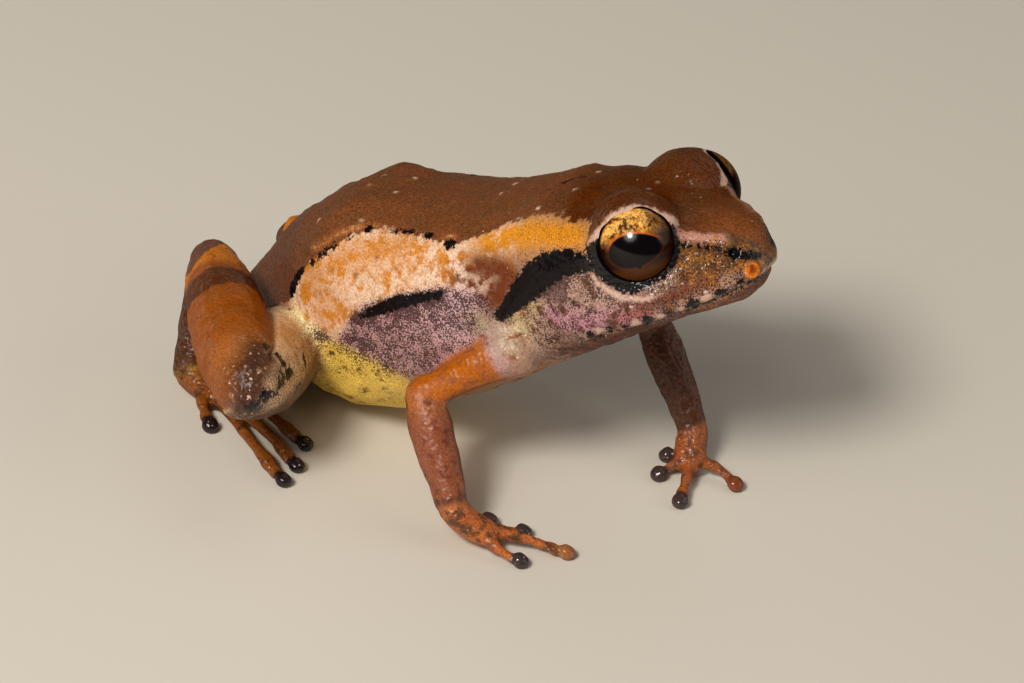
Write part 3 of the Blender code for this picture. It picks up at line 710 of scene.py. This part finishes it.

# The limbs' colours.
# The arms are orange above and red-brown below the elbow, and beige on their inner sides. The shanks are
# golden brown with one dark crossband, the thighs peach with black blots, the hands and feet orange-brown.
# The left arm and hand and the thighs' undersides are darkened with painted shade.

arm_orange = (0.45, 0.11, 0.0)
shoulder_pale_and_highlight = (0.50, 0.38, 0.27)
forearm_red = (0.27, 0.075, 0.03)
forearm_dark = (0.14, 0.03, 0.013)
inner_beige = (0.17, 0.09, 0.045)
hand_brown = (0.50, 0.13, 0.025)
finger_tan = (0.12, 0.045, 0.02)
thigh_peach = (0.98, 0.62, 0.34)
thigh_gold = (0.52, 0.21, 0.02)
thigh_black = (0.05, 0.02, 0.008)
knee_brown = (0.08, 0.025, 0.006)
shank_gold = (0.32, 0.074, 0.0)
shank_red = (0.52, 0.18, 0.045)
shank_mottle = (0.2, 0.04, 0.0)
shank_yellow = (0.60, 0.165, 0.0)
heel_brown_and_shade = (0.07, 0.016, 0.002)
toe_brown = (0.22, 0.06, 0.006)
blister_orange = (0.75, 0.21, 0.02)
blister_brown = (0.26, 0.045, 0.005)
joining_softness = 0.16
meeting_depth = 0.25
wrist_band = (0.97, 0.18)
shank_band = (0.61, 1.15)
limb_parts = ("upper_arm", "forearm", "hand", "thigh", "shank", "tarsus", "foot")
shoulder_patch = (20.3, 6.2, -2.0)
knee_cap = [(9.2, 14.0, 0.7), (9.8, 16.0, 0.4), (9.2, 16.4, -1.3)]
thigh_blots = [
    [(9.5, 12.8, 0.25, 0.28), (9.8, 12.9, -0.2, 0.32)],
    [(9.7, 12.3, -0.95, 0.3), (9.95, 13.0, -0.9, 0.38)],
    [(10.0, 14.2, -0.35, 0.26), (10.3, 14.4, -0.8, 0.32)],
    [(10.1, 13.7, -0.4, 0.2), (10.2, 13.9, -0.9, 0.28)],
    [(10.2, 15.0, -1.0, 0.3), (10.2, 15.9, -0.9, 0.36)],
    [(9.9, 16.3, -1.2, 0.26), (9.6, 16.7, -1.3, 0.24)], [(9.1, 13.3, 0.9, 0.24), (9.0, 12.9, 0.85, 0.2)],
    [(8.7, 11.6, -2.3, 0.3), (8.9, 11.2, -2.4, 0.26)], [(8.6, 9.6, -1.3, 0.24), (8.8, 10.0, -1.7, 0.26)],
]


def meeting(first, second):
    """The middle of the face that one node turns to another, in millimetres."""
    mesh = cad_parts[first].data
    corners = np.array([tuple(vertex.co / MM) for vertex in mesh.vertices])
    gap = gap_to(second, corners)
    return corners[gap < gap.min() + meeting_depth].mean(axis=0)


gaps = {node: gap_to(node, skin_places) for node in flesh_nodes}
weights = {node: np.exp(-gap / joining_softness) for node, gap in gaps.items()}
total = sum(weights.values()) + 1e-9
shares = {node: weight / total for node, weight in weights.items()}
trunk_share = shares["head"] + shares["torso"] + shares["lower_jaw"]


def along(start, end):
    """How far each point has come from start, 0, to end, 1."""
    run = end - start
    return ((skin_places - start) @ run) / (run @ run)


def facing_share(direction, low, high):
    """The share of the skin that faces this way."""
    direction = np.array(direction, float)
    return ramp(skin_facing @ (direction / np.linalg.norm(direction)), low, high)


limb_share = 1 - trunk_share
lay(rump_brown, ramp(5.6 - s, 0, 1.0) * ramp(n, -1.5, 0.0))
back_field -= 6 * limb_share
flecks -= 0.6 * (1 - ramp(dark_field, 0.1, 0.4))
dark_field += 4 * ramp(limb_share, 0.3, 0.8)
for mark in thigh_blots:
    dark_field = np.minimum(dark_field, stroke(mark))
pale_field += 4 * ramp(limb_share, 0.3, 0.8)
pepper += (0.02 - pepper) * limb_share
flecks += (-0.2 - flecks) * limb_share
mottle_share += (0.3 - mottle_share) * limb_share

for side, sign in (("right", -1), ("left", 1)):
    upper_arm, forearm, hand, thigh, shank, tarsus, foot = [part + "_" + side for part in limb_parts]
    elbow = meeting(upper_arm, forearm)
    wrist = meeting(forearm, hand)
    shoulder = meeting(upper_arm, "torso")
    knee = meeting(thigh, shank)
    heel = meeting(shank, tarsus)
    inner = facing_share((-0.5, -sign, -0.3), -0.1, 0.5)

    arm = shares[upper_arm]
    t = along(shoulder, elbow)
    on_arm = arm * ramp(t, -0.06, 0.06)
    lay(arm_orange, on_arm)
    lay(forearm_red, arm, mottle_coat)
    lay(inner_beige, on_arm * facing_share((0.3, -sign * 0.5, -1.0), 0.2, 0.8))
    # Pale skin at the shoulder, brightened with a painted highlight.
    lay(shoulder_pale_and_highlight, 0.9 * (arm + trunk_share) * patch(shoulder_patch, 1.0))
    pepper -= 0.3 * patch(shoulder_patch, 1.0)
    t = along(elbow, wrist)
    arm = shares[forearm]
    lay(forearm_red, arm * ramp(t, -0.1, 0.25))
    lay(arm_orange, arm * (1 - ramp(t, -0.1, 0.3)))
    lay(forearm_dark, arm, mottle_coat)
    lay(inner_beige, arm * inner)
    pepper += 0.3 * arm * inner
    # Painted shade: the left arm is laid over with dark brown.
    if side == "left":
        lay(heel_brown_and_shade, 0.85 * (arm + shares[upper_arm]))
    band = np.abs(t - wrist_band[0]) * np.linalg.norm(wrist - elbow) - wrist_band[1]
    band_field = np.where(arm + shares[hand] > 0.5, np.minimum(band_field, band), band_field)

    lay(hand_brown, shares[hand])
    # Painted shade: the left hand is laid partly over with dark brown.
    lay(heel_brown_and_shade, 0.35 * (sign > 0) * shares[hand])
    lay(finger_tan, shares[hand], mottle_coat)
    mottle_share += 0.1 * shares[hand]
    pepper += 0.15 * shares[hand]

    lay(thigh_peach, shares[thigh])
    lay(thigh_black, shares[thigh], mottle_coat)
    lay(thigh_gold, 0.8 * shares[thigh] * patch((7.8, 9.4, 0.3), 2.6))
    # Painted shade: the underside of each thigh is laid over with dark brown.
    lay(heel_brown_and_shade, 0.75 * shares[thigh] * ramp(-n, 1.6, 2.8))
    mottle_share -= 0.2 * shares[thigh]
    pepper += (0.12 + 0.3 * ramp(-n, -0.5, 1.5)) * shares[thigh]
    t = along(knee, heel)
    leg = shares[shank]
    lay(shank_gold, leg)
    lay(shank_red, leg * patch((8.6, 14.6, 1.4), 1.5))
    lay(shank_yellow, leg * ramp(t, 0.72, 0.8))
    lay(shank_mottle, leg, mottle_coat)
    at_knee = (leg + shares[thigh]) * streak(knee_cap, 1.3)
    lay(knee_brown, 1.2 * at_knee)
    lay(thigh_peach, at_knee, mottle_coat)
    pepper += 0.35 * at_knee
    flecks += 0.34 * at_knee
    band = np.abs(t - shank_band[0]) * np.linalg.norm(heel - knee) - shank_band[1]
    band_field = np.where(leg > 0.5, np.minimum(band_field, band), band_field)
    lay(inner_beige, (leg + shares[thigh]) * facing_share((0.4, 0, -1.0), 0.5, 0.9))
    lay(heel_brown_and_shade, shares[tarsus])
    lay(toe_brown, shares[foot])
    lay(heel_brown_and_shade, shares[foot] + shares[tarsus], mottle_coat)
    pepper += 0.1 * shares[foot]
    mottle_share -= 0.12 * leg

on_pad = np.zeros(count)
for x, y, colour in pads:
    share = 1 - ramp(to_place(skin_places, pad_middle(x, y)), pad_radius + 0.05, pad_radius + 0.25)
    lay(colour, share, side_coat, mottle_coat)
    on_pad = np.maximum(on_pad, share)
pepper *= 1 - on_pad
flecks *= 1 - on_pad
lay(blister_orange, 1 - ramp(on_blister, 0.42, 0.55))
lay(blister_brown, 0.9 * (1 - ramp(on_blister, 0.15, 0.32)))
lay(blister_brown, 1 - ramp(on_blister, 0.4, 0.55), mottle_coat)
pepper *= ramp(on_blister, 0.4, 0.6)
dark_field += 2 * (1 - ramp(on_blister, 0.5, 0.62))
pale_field += 2 * (1 - ramp(on_blister, 0.6, 0.8))
back_field -= 2 * (1 - ramp(on_blister, 0.5, 0.62))

# The skin's material.
# Wet skin: the washes under dark marks, pepper and pale flecks, a fine grain, and a film of water with
# stronger ripples of its own that break the light into small sparks.

on_thigh = shares["thigh_right"] + shares["thigh_left"]
lay(groin_pale, streak([(5.8, 5.8, 0.0), (6.7, 6.3, -0.7), (7.3, 6.9, -0.9)], 0.5))
grain_field = np.clip(0.6 + 0.4 * limb_share - 0.6 * on_thigh, 0, 1) * (1 - 0.85 * on_pad)
on_snout_side = ramp(s, 28, 30) * ramp(2.2 - n, 0, 0.6)
wet_field = 0.45 + 0.55 * limb_share - 0.22 * ramp(back_field, 0, 0.6) + 0.4 * on_snout_side * trunk_share
for side in (-1, 1):
    wet_field += hump(np.linalg.norm(eye_places(skin_places, side), axis=1) - 2.7, 0.7, 0.6)
wet_field -= 0.6 * (1 - ramp(on_blister, 0.4, 0.7))
wet_field = np.clip(wet_field, 0, 1)


def keep(piece, name, values):
    """Stores one number or one colour for each vertex."""
    kind, key = ("FLOAT", "value") if values.ndim == 1 else ("FLOAT_COLOR", "color")
    layer = piece.data.attributes.new(name, kind, "POINT")
    layer.data.foreach_set(key, values.astype(np.float32).ravel())


for name, values in (("side_coat", side_coat), ("mottle_coat", mottle_coat), ("back_coat", back_coat),
                     ("mottle", mottle_share), ("back", back_field), ("dark", dark_field),
                     ("band", band_field), ("pale", pale_field), ("pepper", pepper),
                     ("flecks", flecks), ("grain", grain_field), ("wet", wet_field)):
    keep(skin, name, values)


def new_group(name, **numbers):
    """A node group that makes a share of a place and these numbers, and its sockets from within."""
    group = bpy.data.node_groups.new(name, "ShaderNodeTree")
    group.interface.new_socket("Place", in_out="INPUT", socket_type="NodeSocketVector")
    for label, value in numbers.items():
        socket = group.interface.new_socket(label, in_out="INPUT", socket_type="NodeSocketFloat")
        socket.default_value = value
    group.interface.new_socket("Inside", in_out="OUTPUT", socket_type="NodeSocketFloat")
    return group, group.nodes.new("NodeGroupInput").outputs, group.nodes.new("NodeGroupOutput").inputs


def feed(socket, value):
    """Sets a socket in the tree at hand, or links it where the value is a socket too."""
    if isinstance(value, bpy.types.NodeSocket):
        tree.links.new(value, socket)
    else:
        socket.default_value = value


def feed_all(node, values):
    """Sets or links a node's inputs by their names."""
    for label, value in values.items():
        feed(node.inputs[label], value)


def sum_of(kind, first, second=0.0, third=0.0):
    """A Math node's result."""
    node = tree.nodes.new("ShaderNodeMath")
    node.operation = kind
    for socket, value in zip(node.inputs, (first, second, third)):
        feed(socket, value)
    return node.outputs[0]


def times(first, second):
    """Two numbers multiplied."""
    return sum_of("MULTIPLY", first, second)


def step_of(value, low, high, start=0.0, end=1.0):
    """A smooth step of a value between two limits."""
    node = tree.nodes.new("ShaderNodeMapRange")
    node.interpolation_type = "SMOOTHSTEP"
    for socket, given in zip(node.inputs[:5], (value, low, high, start, end)):
        feed(socket, given)
    return node.outputs[0]


def mixed(share, first, second, kind="MIX"):
    """Two colours mixed by a share."""
    node = tree.nodes.new("ShaderNodeMix")
    node.data_type = "RGBA"
    node.blend_type = kind
    feed(node.inputs[0], share)
    feed(node.inputs[6], first)
    feed(node.inputs[7], second)
    return node.outputs[2]


def noise_of(vector, scale, detail=2.0, roughness=0.5):
    """Noise between 0 and 1."""
    node = tree.nodes.new("ShaderNodeTexNoise")
    feed_all(node, {"Vector": vector, "Scale": scale, "Detail": detail, "Roughness": roughness})
    return node.outputs["Fac"]


def attribute_of(name, kind="Fac"):
    """A stored number or colour."""
    node = tree.nodes.new("ShaderNodeAttribute")
    node.attribute_name = name
    return node.outputs[kind]


def millimetres():
    """The place on the piece in millimetres."""
    spot = tree.nodes.new("ShaderNodeTexCoord")
    scaled = tree.nodes.new("ShaderNodeMapping")
    feed_all(scaled, {"Vector": spot.outputs["Object"], "Scale": (1 / MM, 1 / MM, 1 / MM)})
    return scaled.outputs["Vector"]


def new_material(name):
    """A material, its node tree and its shader."""
    material = bpy.data.materials.new(name)
    material.use_nodes = True
    return material, material.node_tree, material.node_tree.nodes["Principled BSDF"]


tree, given, result = new_group("ragged_edge", Field=0.0, Softness=0.08, Raggedness=0.5, Grain=3.0)
ragged_edge = tree
wobble = noise_of(given["Place"], given["Grain"], 4.0, 0.65)
shift = times(sum_of("SUBTRACT", wobble, 0.5), given["Raggedness"])
moved = sum_of("ADD", given["Field"], shift)
low = times(given["Softness"], -1.0)
feed(result["Inside"], step_of(moved, low, given["Softness"], 1.0, 0.0))

tree, given, result = new_group("specks", Density=0.3, Fineness=5.0)
specks = tree
fine = noise_of(given["Place"], given["Fineness"], 1.0, 0.5)
clumps = step_of(noise_of(given["Place"], 1.3, 3.0), 0.25, 0.7, 0.6, 1.35)
local_density = times(given["Density"], clumps)
limit = sum_of("MULTIPLY_ADD", local_density, -0.36, 0.72)
feed(result["Inside"], step_of(sum_of("SUBTRACT", fine, limit), -0.025, 0.025))


def inside_of(group, **values):
    """What is inside a ragged edge or the specks, with these values."""
    node = tree.nodes.new("ShaderNodeGroup")
    node.node_tree = group
    feed_all(node, values)
    return node.outputs["Inside"]


back_olive = (0.115, 0.055, 0.02, 1)
mark_black = (0.004, 0.002, 0.003, 1)
band_brown = (0.062, 0.014, 0.001, 1)
pepper_brown = (0.045, 0.017, 0.017, 1)
# The pale marks' colour, brightened as a painted highlight for the lids' rims.
pale_mark_and_highlight = (0.72, 0.48, 0.37, 1)
fleck_cream = (0.80, 0.56, 0.40, 1)
# Each mark's softness, raggedness, fineness, strength and colour.
marks = [("band", 0.22, 0.9, 1.6, 0.85, band_brown), ("pale", 0.12, 0.5, 3.5, 0.8, pale_mark_and_highlight),
         ("dark", 0.06, 0.95, 4.2, 1.0, mark_black)]

skin_material, tree, shader = new_material("wet_frog_skin")
spot = millimetres()

mottle = noise_of(spot, 1.5, 6.0, 0.64)
threshold = sum_of("SUBTRACT", 0.72, times(attribute_of("mottle"), 0.45))
mottled = step_of(sum_of("SUBTRACT", mottle, threshold), -0.09, 0.09)
coats = [attribute_of(name, "Color") for name in ("side_coat", "mottle_coat")]
side_colour = mixed(mottled, *coats)
side_tone = step_of(noise_of(spot, 9.0, 3.0, 0.6), 0.3, 0.7, 0.72, 1.25)
side_colour = mixed(1.0, side_colour, side_tone, "MULTIPLY")
cloudy = step_of(noise_of(spot, 0.45, 3.0, 0.6), 0.4, 0.62)
olive_share = times(cloudy, 0.35)
back_colour = mixed(olive_share, attribute_of("back_coat", "Color"), back_olive)
back_tone = step_of(noise_of(spot, 9.0, 4.0, 0.8), 0.36, 0.64, 0.5, 1.5)
back_colour = mixed(1.0, back_colour, back_tone, "MULTIPLY")
back_outside = times(attribute_of("back"), -1.0)
back_inside = inside_of(
    ragged_edge, Place=spot, Field=back_outside, Softness=0.07, Raggedness=0.7, Grain=2.2)
colour = mixed(back_inside, side_colour, back_colour)
side_only = sum_of("SUBTRACT", 1.0, back_inside)
pepper_density = times(attribute_of("pepper"), side_only)
pepper_inside = inside_of(specks, Place=spot, Density=pepper_density, Fineness=11.0)
colour = mixed(times(pepper_inside, 0.9), colour, pepper_brown)
for name, softness, raggedness, fineness, strength, pigment in marks:
    mark_inside = inside_of(
        ragged_edge, Place=spot, Field=attribute_of(name), Softness=softness, Raggedness=raggedness,
        Grain=fineness)
    colour = mixed(times(mark_inside, strength), colour, pigment)
fleck_inside = inside_of(specks, Place=spot, Density=attribute_of("flecks"), Fineness=3.4)
colour = mixed(times(fleck_inside, 0.7), colour, fleck_cream)

granules = tree.nodes.new("ShaderNodeTexVoronoi")
granules.feature = "SMOOTH_F1"
feed_all(granules, {"Vector": spot, "Scale": 4.2})
fine = times(noise_of(spot, 11.0, 3.0, 0.6), 0.012)
height = sum_of("MULTIPLY_ADD", granules.outputs["Distance"], -0.05, fine)
height = times(height, attribute_of("grain"))
for label, share in (("Normal", 1.0), ("Coat Normal", 2.6)):
    bump = tree.nodes.new("ShaderNodeBump")
    feed_all(bump, {"Strength": 1.0, "Distance": MM, "Height": times(height, share)})
    feed(shader.inputs[label], bump.outputs["Normal"])


def face_on_share(*steps):
    """A share for the gloss only, from where the surface is seen face on to where it is seen edge on."""
    edge_on = tree.nodes.new("ShaderNodeLayerWeight")
    edge_on.inputs["Blend"].default_value = 0.5
    return step_of(edge_on.outputs["Facing"], *steps)


wet_share = times(attribute_of("wet"), face_on_share(0.4, 0.8, 1.0, 0.1))
feed_all(shader, {
    "Base Color": colour,
    "Roughness": step_of(noise_of(spot, 5.0), 0.3, 0.7, 0.42, 0.6),
    "Coat Weight": wet_share,
    "Coat Roughness": 0.11,
    "Coat IOR": 1.42,
    "Specular IOR Level": 0.04,
    "Subsurface Weight": 0.12,
    "Subsurface Radius": (1.0, 0.35, 0.15),
    "Subsurface Scale": 0.5 * MM,
})
skin.data.materials.clear()
skin.data.materials.append(skin_material)

# The eyes.
# Each is a wet ball behind a clear cornea. Its iris is gold above, red-brown at the sides, bronze below and
# finely veined, round a black pupil that dips in a notch. The left iris is painted smaller and darker in
# front, as painted shade where that eye is seen edge on.

# The left iris is painted smaller as painted shade.
iris_radius = {"right": 1.98, "left": 1.84}
pupil_half_length = 1.48
pupil_half_height = 0.93
pupil_shift = (-0.12, -0.18)
pupil_taper = 0.16
notch_slope = 1.6
notch_depth = 0.22
iris_gold = (1.0, 0.40, 0.05, 1)
iris_yellow = (1.0, 0.60, 0.18, 1)
iris_vein = (0.07, 0.018, 0.003, 1)
iris_red = (0.016, 0.003, 0.001, 1)
iris_bronze = (0.085, 0.032, 0.003, 1)
iris_glow = (0.55, 0.11, 0.01, 1)
eye_black = (0.002, 0.001, 0.002, 1)

eye_material, tree, shader = new_material("wet_eye")
spot = millimetres()
level = attribute_of("iris_level")
pupil_outside = attribute_of("pupil_gap")
winding = sum_of("ABSOLUTE", sum_of("SUBTRACT", noise_of(spot, 2.4, 6.0, 0.7), 0.5))
off_vein = step_of(winding, 0.0, 0.035)
veined = times(off_vein, step_of(noise_of(spot, 1.3, 5.0, 0.75), 0.62, 0.5))
bright = mixed(step_of(noise_of(spot, 4.0, 3.0), 0.35, 0.65), iris_gold, iris_yellow)
gold = mixed(veined, iris_vein, bright)
# The gold darkens towards the front of each iris; on the left eye this is painted shade and reaches
# further.
gold = mixed(step_of(attribute_of("iris_front_and_shade"), 0.15, 0.75, 0.0, 0.85), gold, iris_vein)
grains = step_of(noise_of(spot, 12.0, 5.0, 0.8), 0.48, 0.62)
bronze = mixed(grains, iris_vein, iris_bronze)
uneven_level = sum_of("ADD", level, times(noise_of(spot, 2.0), 0.3))
colour = mixed(step_of(uneven_level, 0.35, 0.75), iris_red, gold)
colour = mixed(step_of(level, -0.35, -0.62), colour, bronze)
upper_glow = step_of(level, 0.05, 0.4, 0.05, 0.8)
glow = times(step_of(pupil_outside, 0.2, 0.02), upper_glow)
colour = mixed(glow, colour, iris_glow)
pupil_inside = inside_of(
    ragged_edge, Place=spot, Field=pupil_outside, Softness=0.04, Raggedness=0.06, Grain=6.0)
colour = mixed(pupil_inside, colour, eye_black)
iris_inward = sum_of("SUBTRACT", 0.0, attribute_of("iris_gap"))
iris_outside = inside_of(
    ragged_edge, Place=spot, Field=iris_inward, Softness=0.05, Raggedness=0.1, Grain=4.0)
feed_all(shader, {
    "Base Color": mixed(iris_outside, colour, eye_black),
    "Roughness": 0.25,
    "Coat Weight": face_on_share(0.12, 0.45, 1.0, 0.12),
    "Coat Roughness": 0.14,
    "Coat IOR": 1.38,
    "Specular IOR Level": 0.0,
})

for side, name in ((-1, "right"), (1, "left")):
    bpy.ops.object.select_all(action="DESELECT")
    middle = box_middle("eye_" + name) * MM
    bpy.ops.mesh.primitive_ico_sphere_add(subdivisions=7, radius=eye_radius * MM, location=middle)
    eye = bpy.context.object
    eye.name = "eyeball_" + name
    bpy.ops.object.transform_apply(location=True, rotation=True, scale=True)
    bpy.ops.object.shade_smooth()
    local = eye_places(read_vertices(eye) / MM, side)
    x = local[:, 0] - pupil_shift[0]
    y = local[:, 1] - pupil_shift[1]
    height_here = pupil_half_height * (1 - pupil_taper * x / pupil_half_length)
    reach = np.hypot(x / pupil_half_length, y / height_here)
    pupil_gap = (reach - 1) * pupil_half_height
    notch = np.maximum(np.abs(x) * notch_slope - y - pupil_half_height - notch_depth, y)
    pupil_gap = np.minimum(pupil_gap, notch)
    iris_gap = np.hypot(local[:, 0], local[:, 1]) - iris_radius[name]
    front = local[:, 2] > 0
    keep(eye, "pupil_gap", np.where(front, pupil_gap, unmarked))
    keep(eye, "iris_gap", np.where(front, iris_gap, unmarked))
    keep(eye, "iris_level", y / iris_radius[name])
    keep(eye, "iris_front_and_shade", local[:, 0] / iris_radius[name] + 0.25 * (side + 1))
    eye.data.materials.append(eye_material)
    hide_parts("eye_" + name)
    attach(eye, "root")

# The floor.
# A plain pale studio sweep, matt, far wider than the frog.

floor_width = 3.0
floor_drop = 0.02
floor_colour = (0.72, 0.67, 0.59, 1)
floor_roughness = 0.8
bpy.ops.object.select_all(action="DESELECT")
bpy.ops.mesh.primitive_plane_add(size=floor_width, location=(0, 0, -floor_drop * MM))
floor = bpy.context.object
floor.name = "floor"
bpy.ops.object.transform_apply(location=True, rotation=True, scale=True)
floor_material, tree, shader = new_material("floor")
feed_all(shader, {"Base Color": floor_colour, "Roughness": floor_roughness})
floor.data.materials.append(floor_material)

# The camera.
# It looks down on the frog's right front side from a quarter of a metre, turned a little on its own axis.

camera_azimuth = 24.2
camera_elevation = 33
camera_roll = math.radians(11.4)
camera_distance = 250
camera_target = eyes_middle + Vector((-4.69, -7.0, -7.33))
picture_width = 1024
pixels_per_mm = 17.9
sensor_width = 36


def direction_to(azimuth, elevation):
    """The way from the frog to a camera or a lamp, from its angles in degrees."""
    a = math.radians(azimuth)
    e = math.radians(elevation)
    return Vector((math.sin(a) * math.cos(e), -math.cos(a) * math.cos(e), math.sin(e)))


away = direction_to(camera_azimuth, camera_elevation)
level_right = Vector((math.cos(math.radians(camera_azimuth)), math.sin(math.radians(camera_azimuth)), 0))
level_up = away.cross(level_right)
picture_right = level_right * math.cos(camera_roll) + level_up * math.sin(camera_roll)
picture_up = away.cross(picture_right)
turn = Matrix((picture_right, picture_up, away)).transposed().to_4x4()

bpy.ops.object.camera_add()
camera = bpy.context.object
camera.matrix_world = Matrix.Translation((camera_target + away * camera_distance) * MM) @ turn
camera.data.sensor_fit = "HORIZONTAL"
camera.data.sensor_width = sensor_width
camera.data.lens = sensor_width * pixels_per_mm * camera_distance / picture_width
camera.data.clip_start = 0.01
camera.data.clip_end = 10
bpy.context.scene.camera = camera

# The light.
# A small bright lamp to the camera's left with a wider, fainter one behind it, a broad one from the right,
# a weak one over the frog's back, and dim pale surroundings.

surroundings_colour = (1.0, 0.96, 0.9, 1)
surroundings_strength = 0.06


def soft_lamp(name, azimuth, elevation, distance, size, power, colour):
    """A round lamp that faces the frog, its angles in degrees and its distance and size in metres."""
    direction = direction_to(azimuth, elevation)
    bpy.ops.object.light_add(type="AREA", location=camera_target * MM + direction * distance)
    lamp = bpy.context.object
    lamp.name = name
    lamp.rotation_euler = direction.to_track_quat("Z", "Y").to_euler()
    lamp.data.shape = "DISK"
    lamp.data.size = size
    lamp.data.energy = power
    lamp.data.color = colour


soft_lamp("key_lamp", -4, 42, 0.45, 0.1, 1.45, (1.0, 0.95, 0.87))
soft_lamp("key_glow", -4, 42, 0.46, 0.28, 0.7, (1.0, 0.95, 0.87))
soft_lamp("side_lamp", 118, 30, 0.5, 0.4, 0.35, (1.0, 0.95, 0.88))
soft_lamp("back_lamp", 190, 65, 0.5, 0.4, 0.2, (1.0, 0.98, 0.95))

world = bpy.data.worlds.new("studio")
world.use_nodes = True
world.node_tree.nodes["Background"].inputs["Color"].default_value = surroundings_colour
world.node_tree.nodes["Background"].inputs["Strength"].default_value = surroundings_strength
bpy.context.scene.world = world
bpy.context.scene.view_settings.view_transform = "Standard"
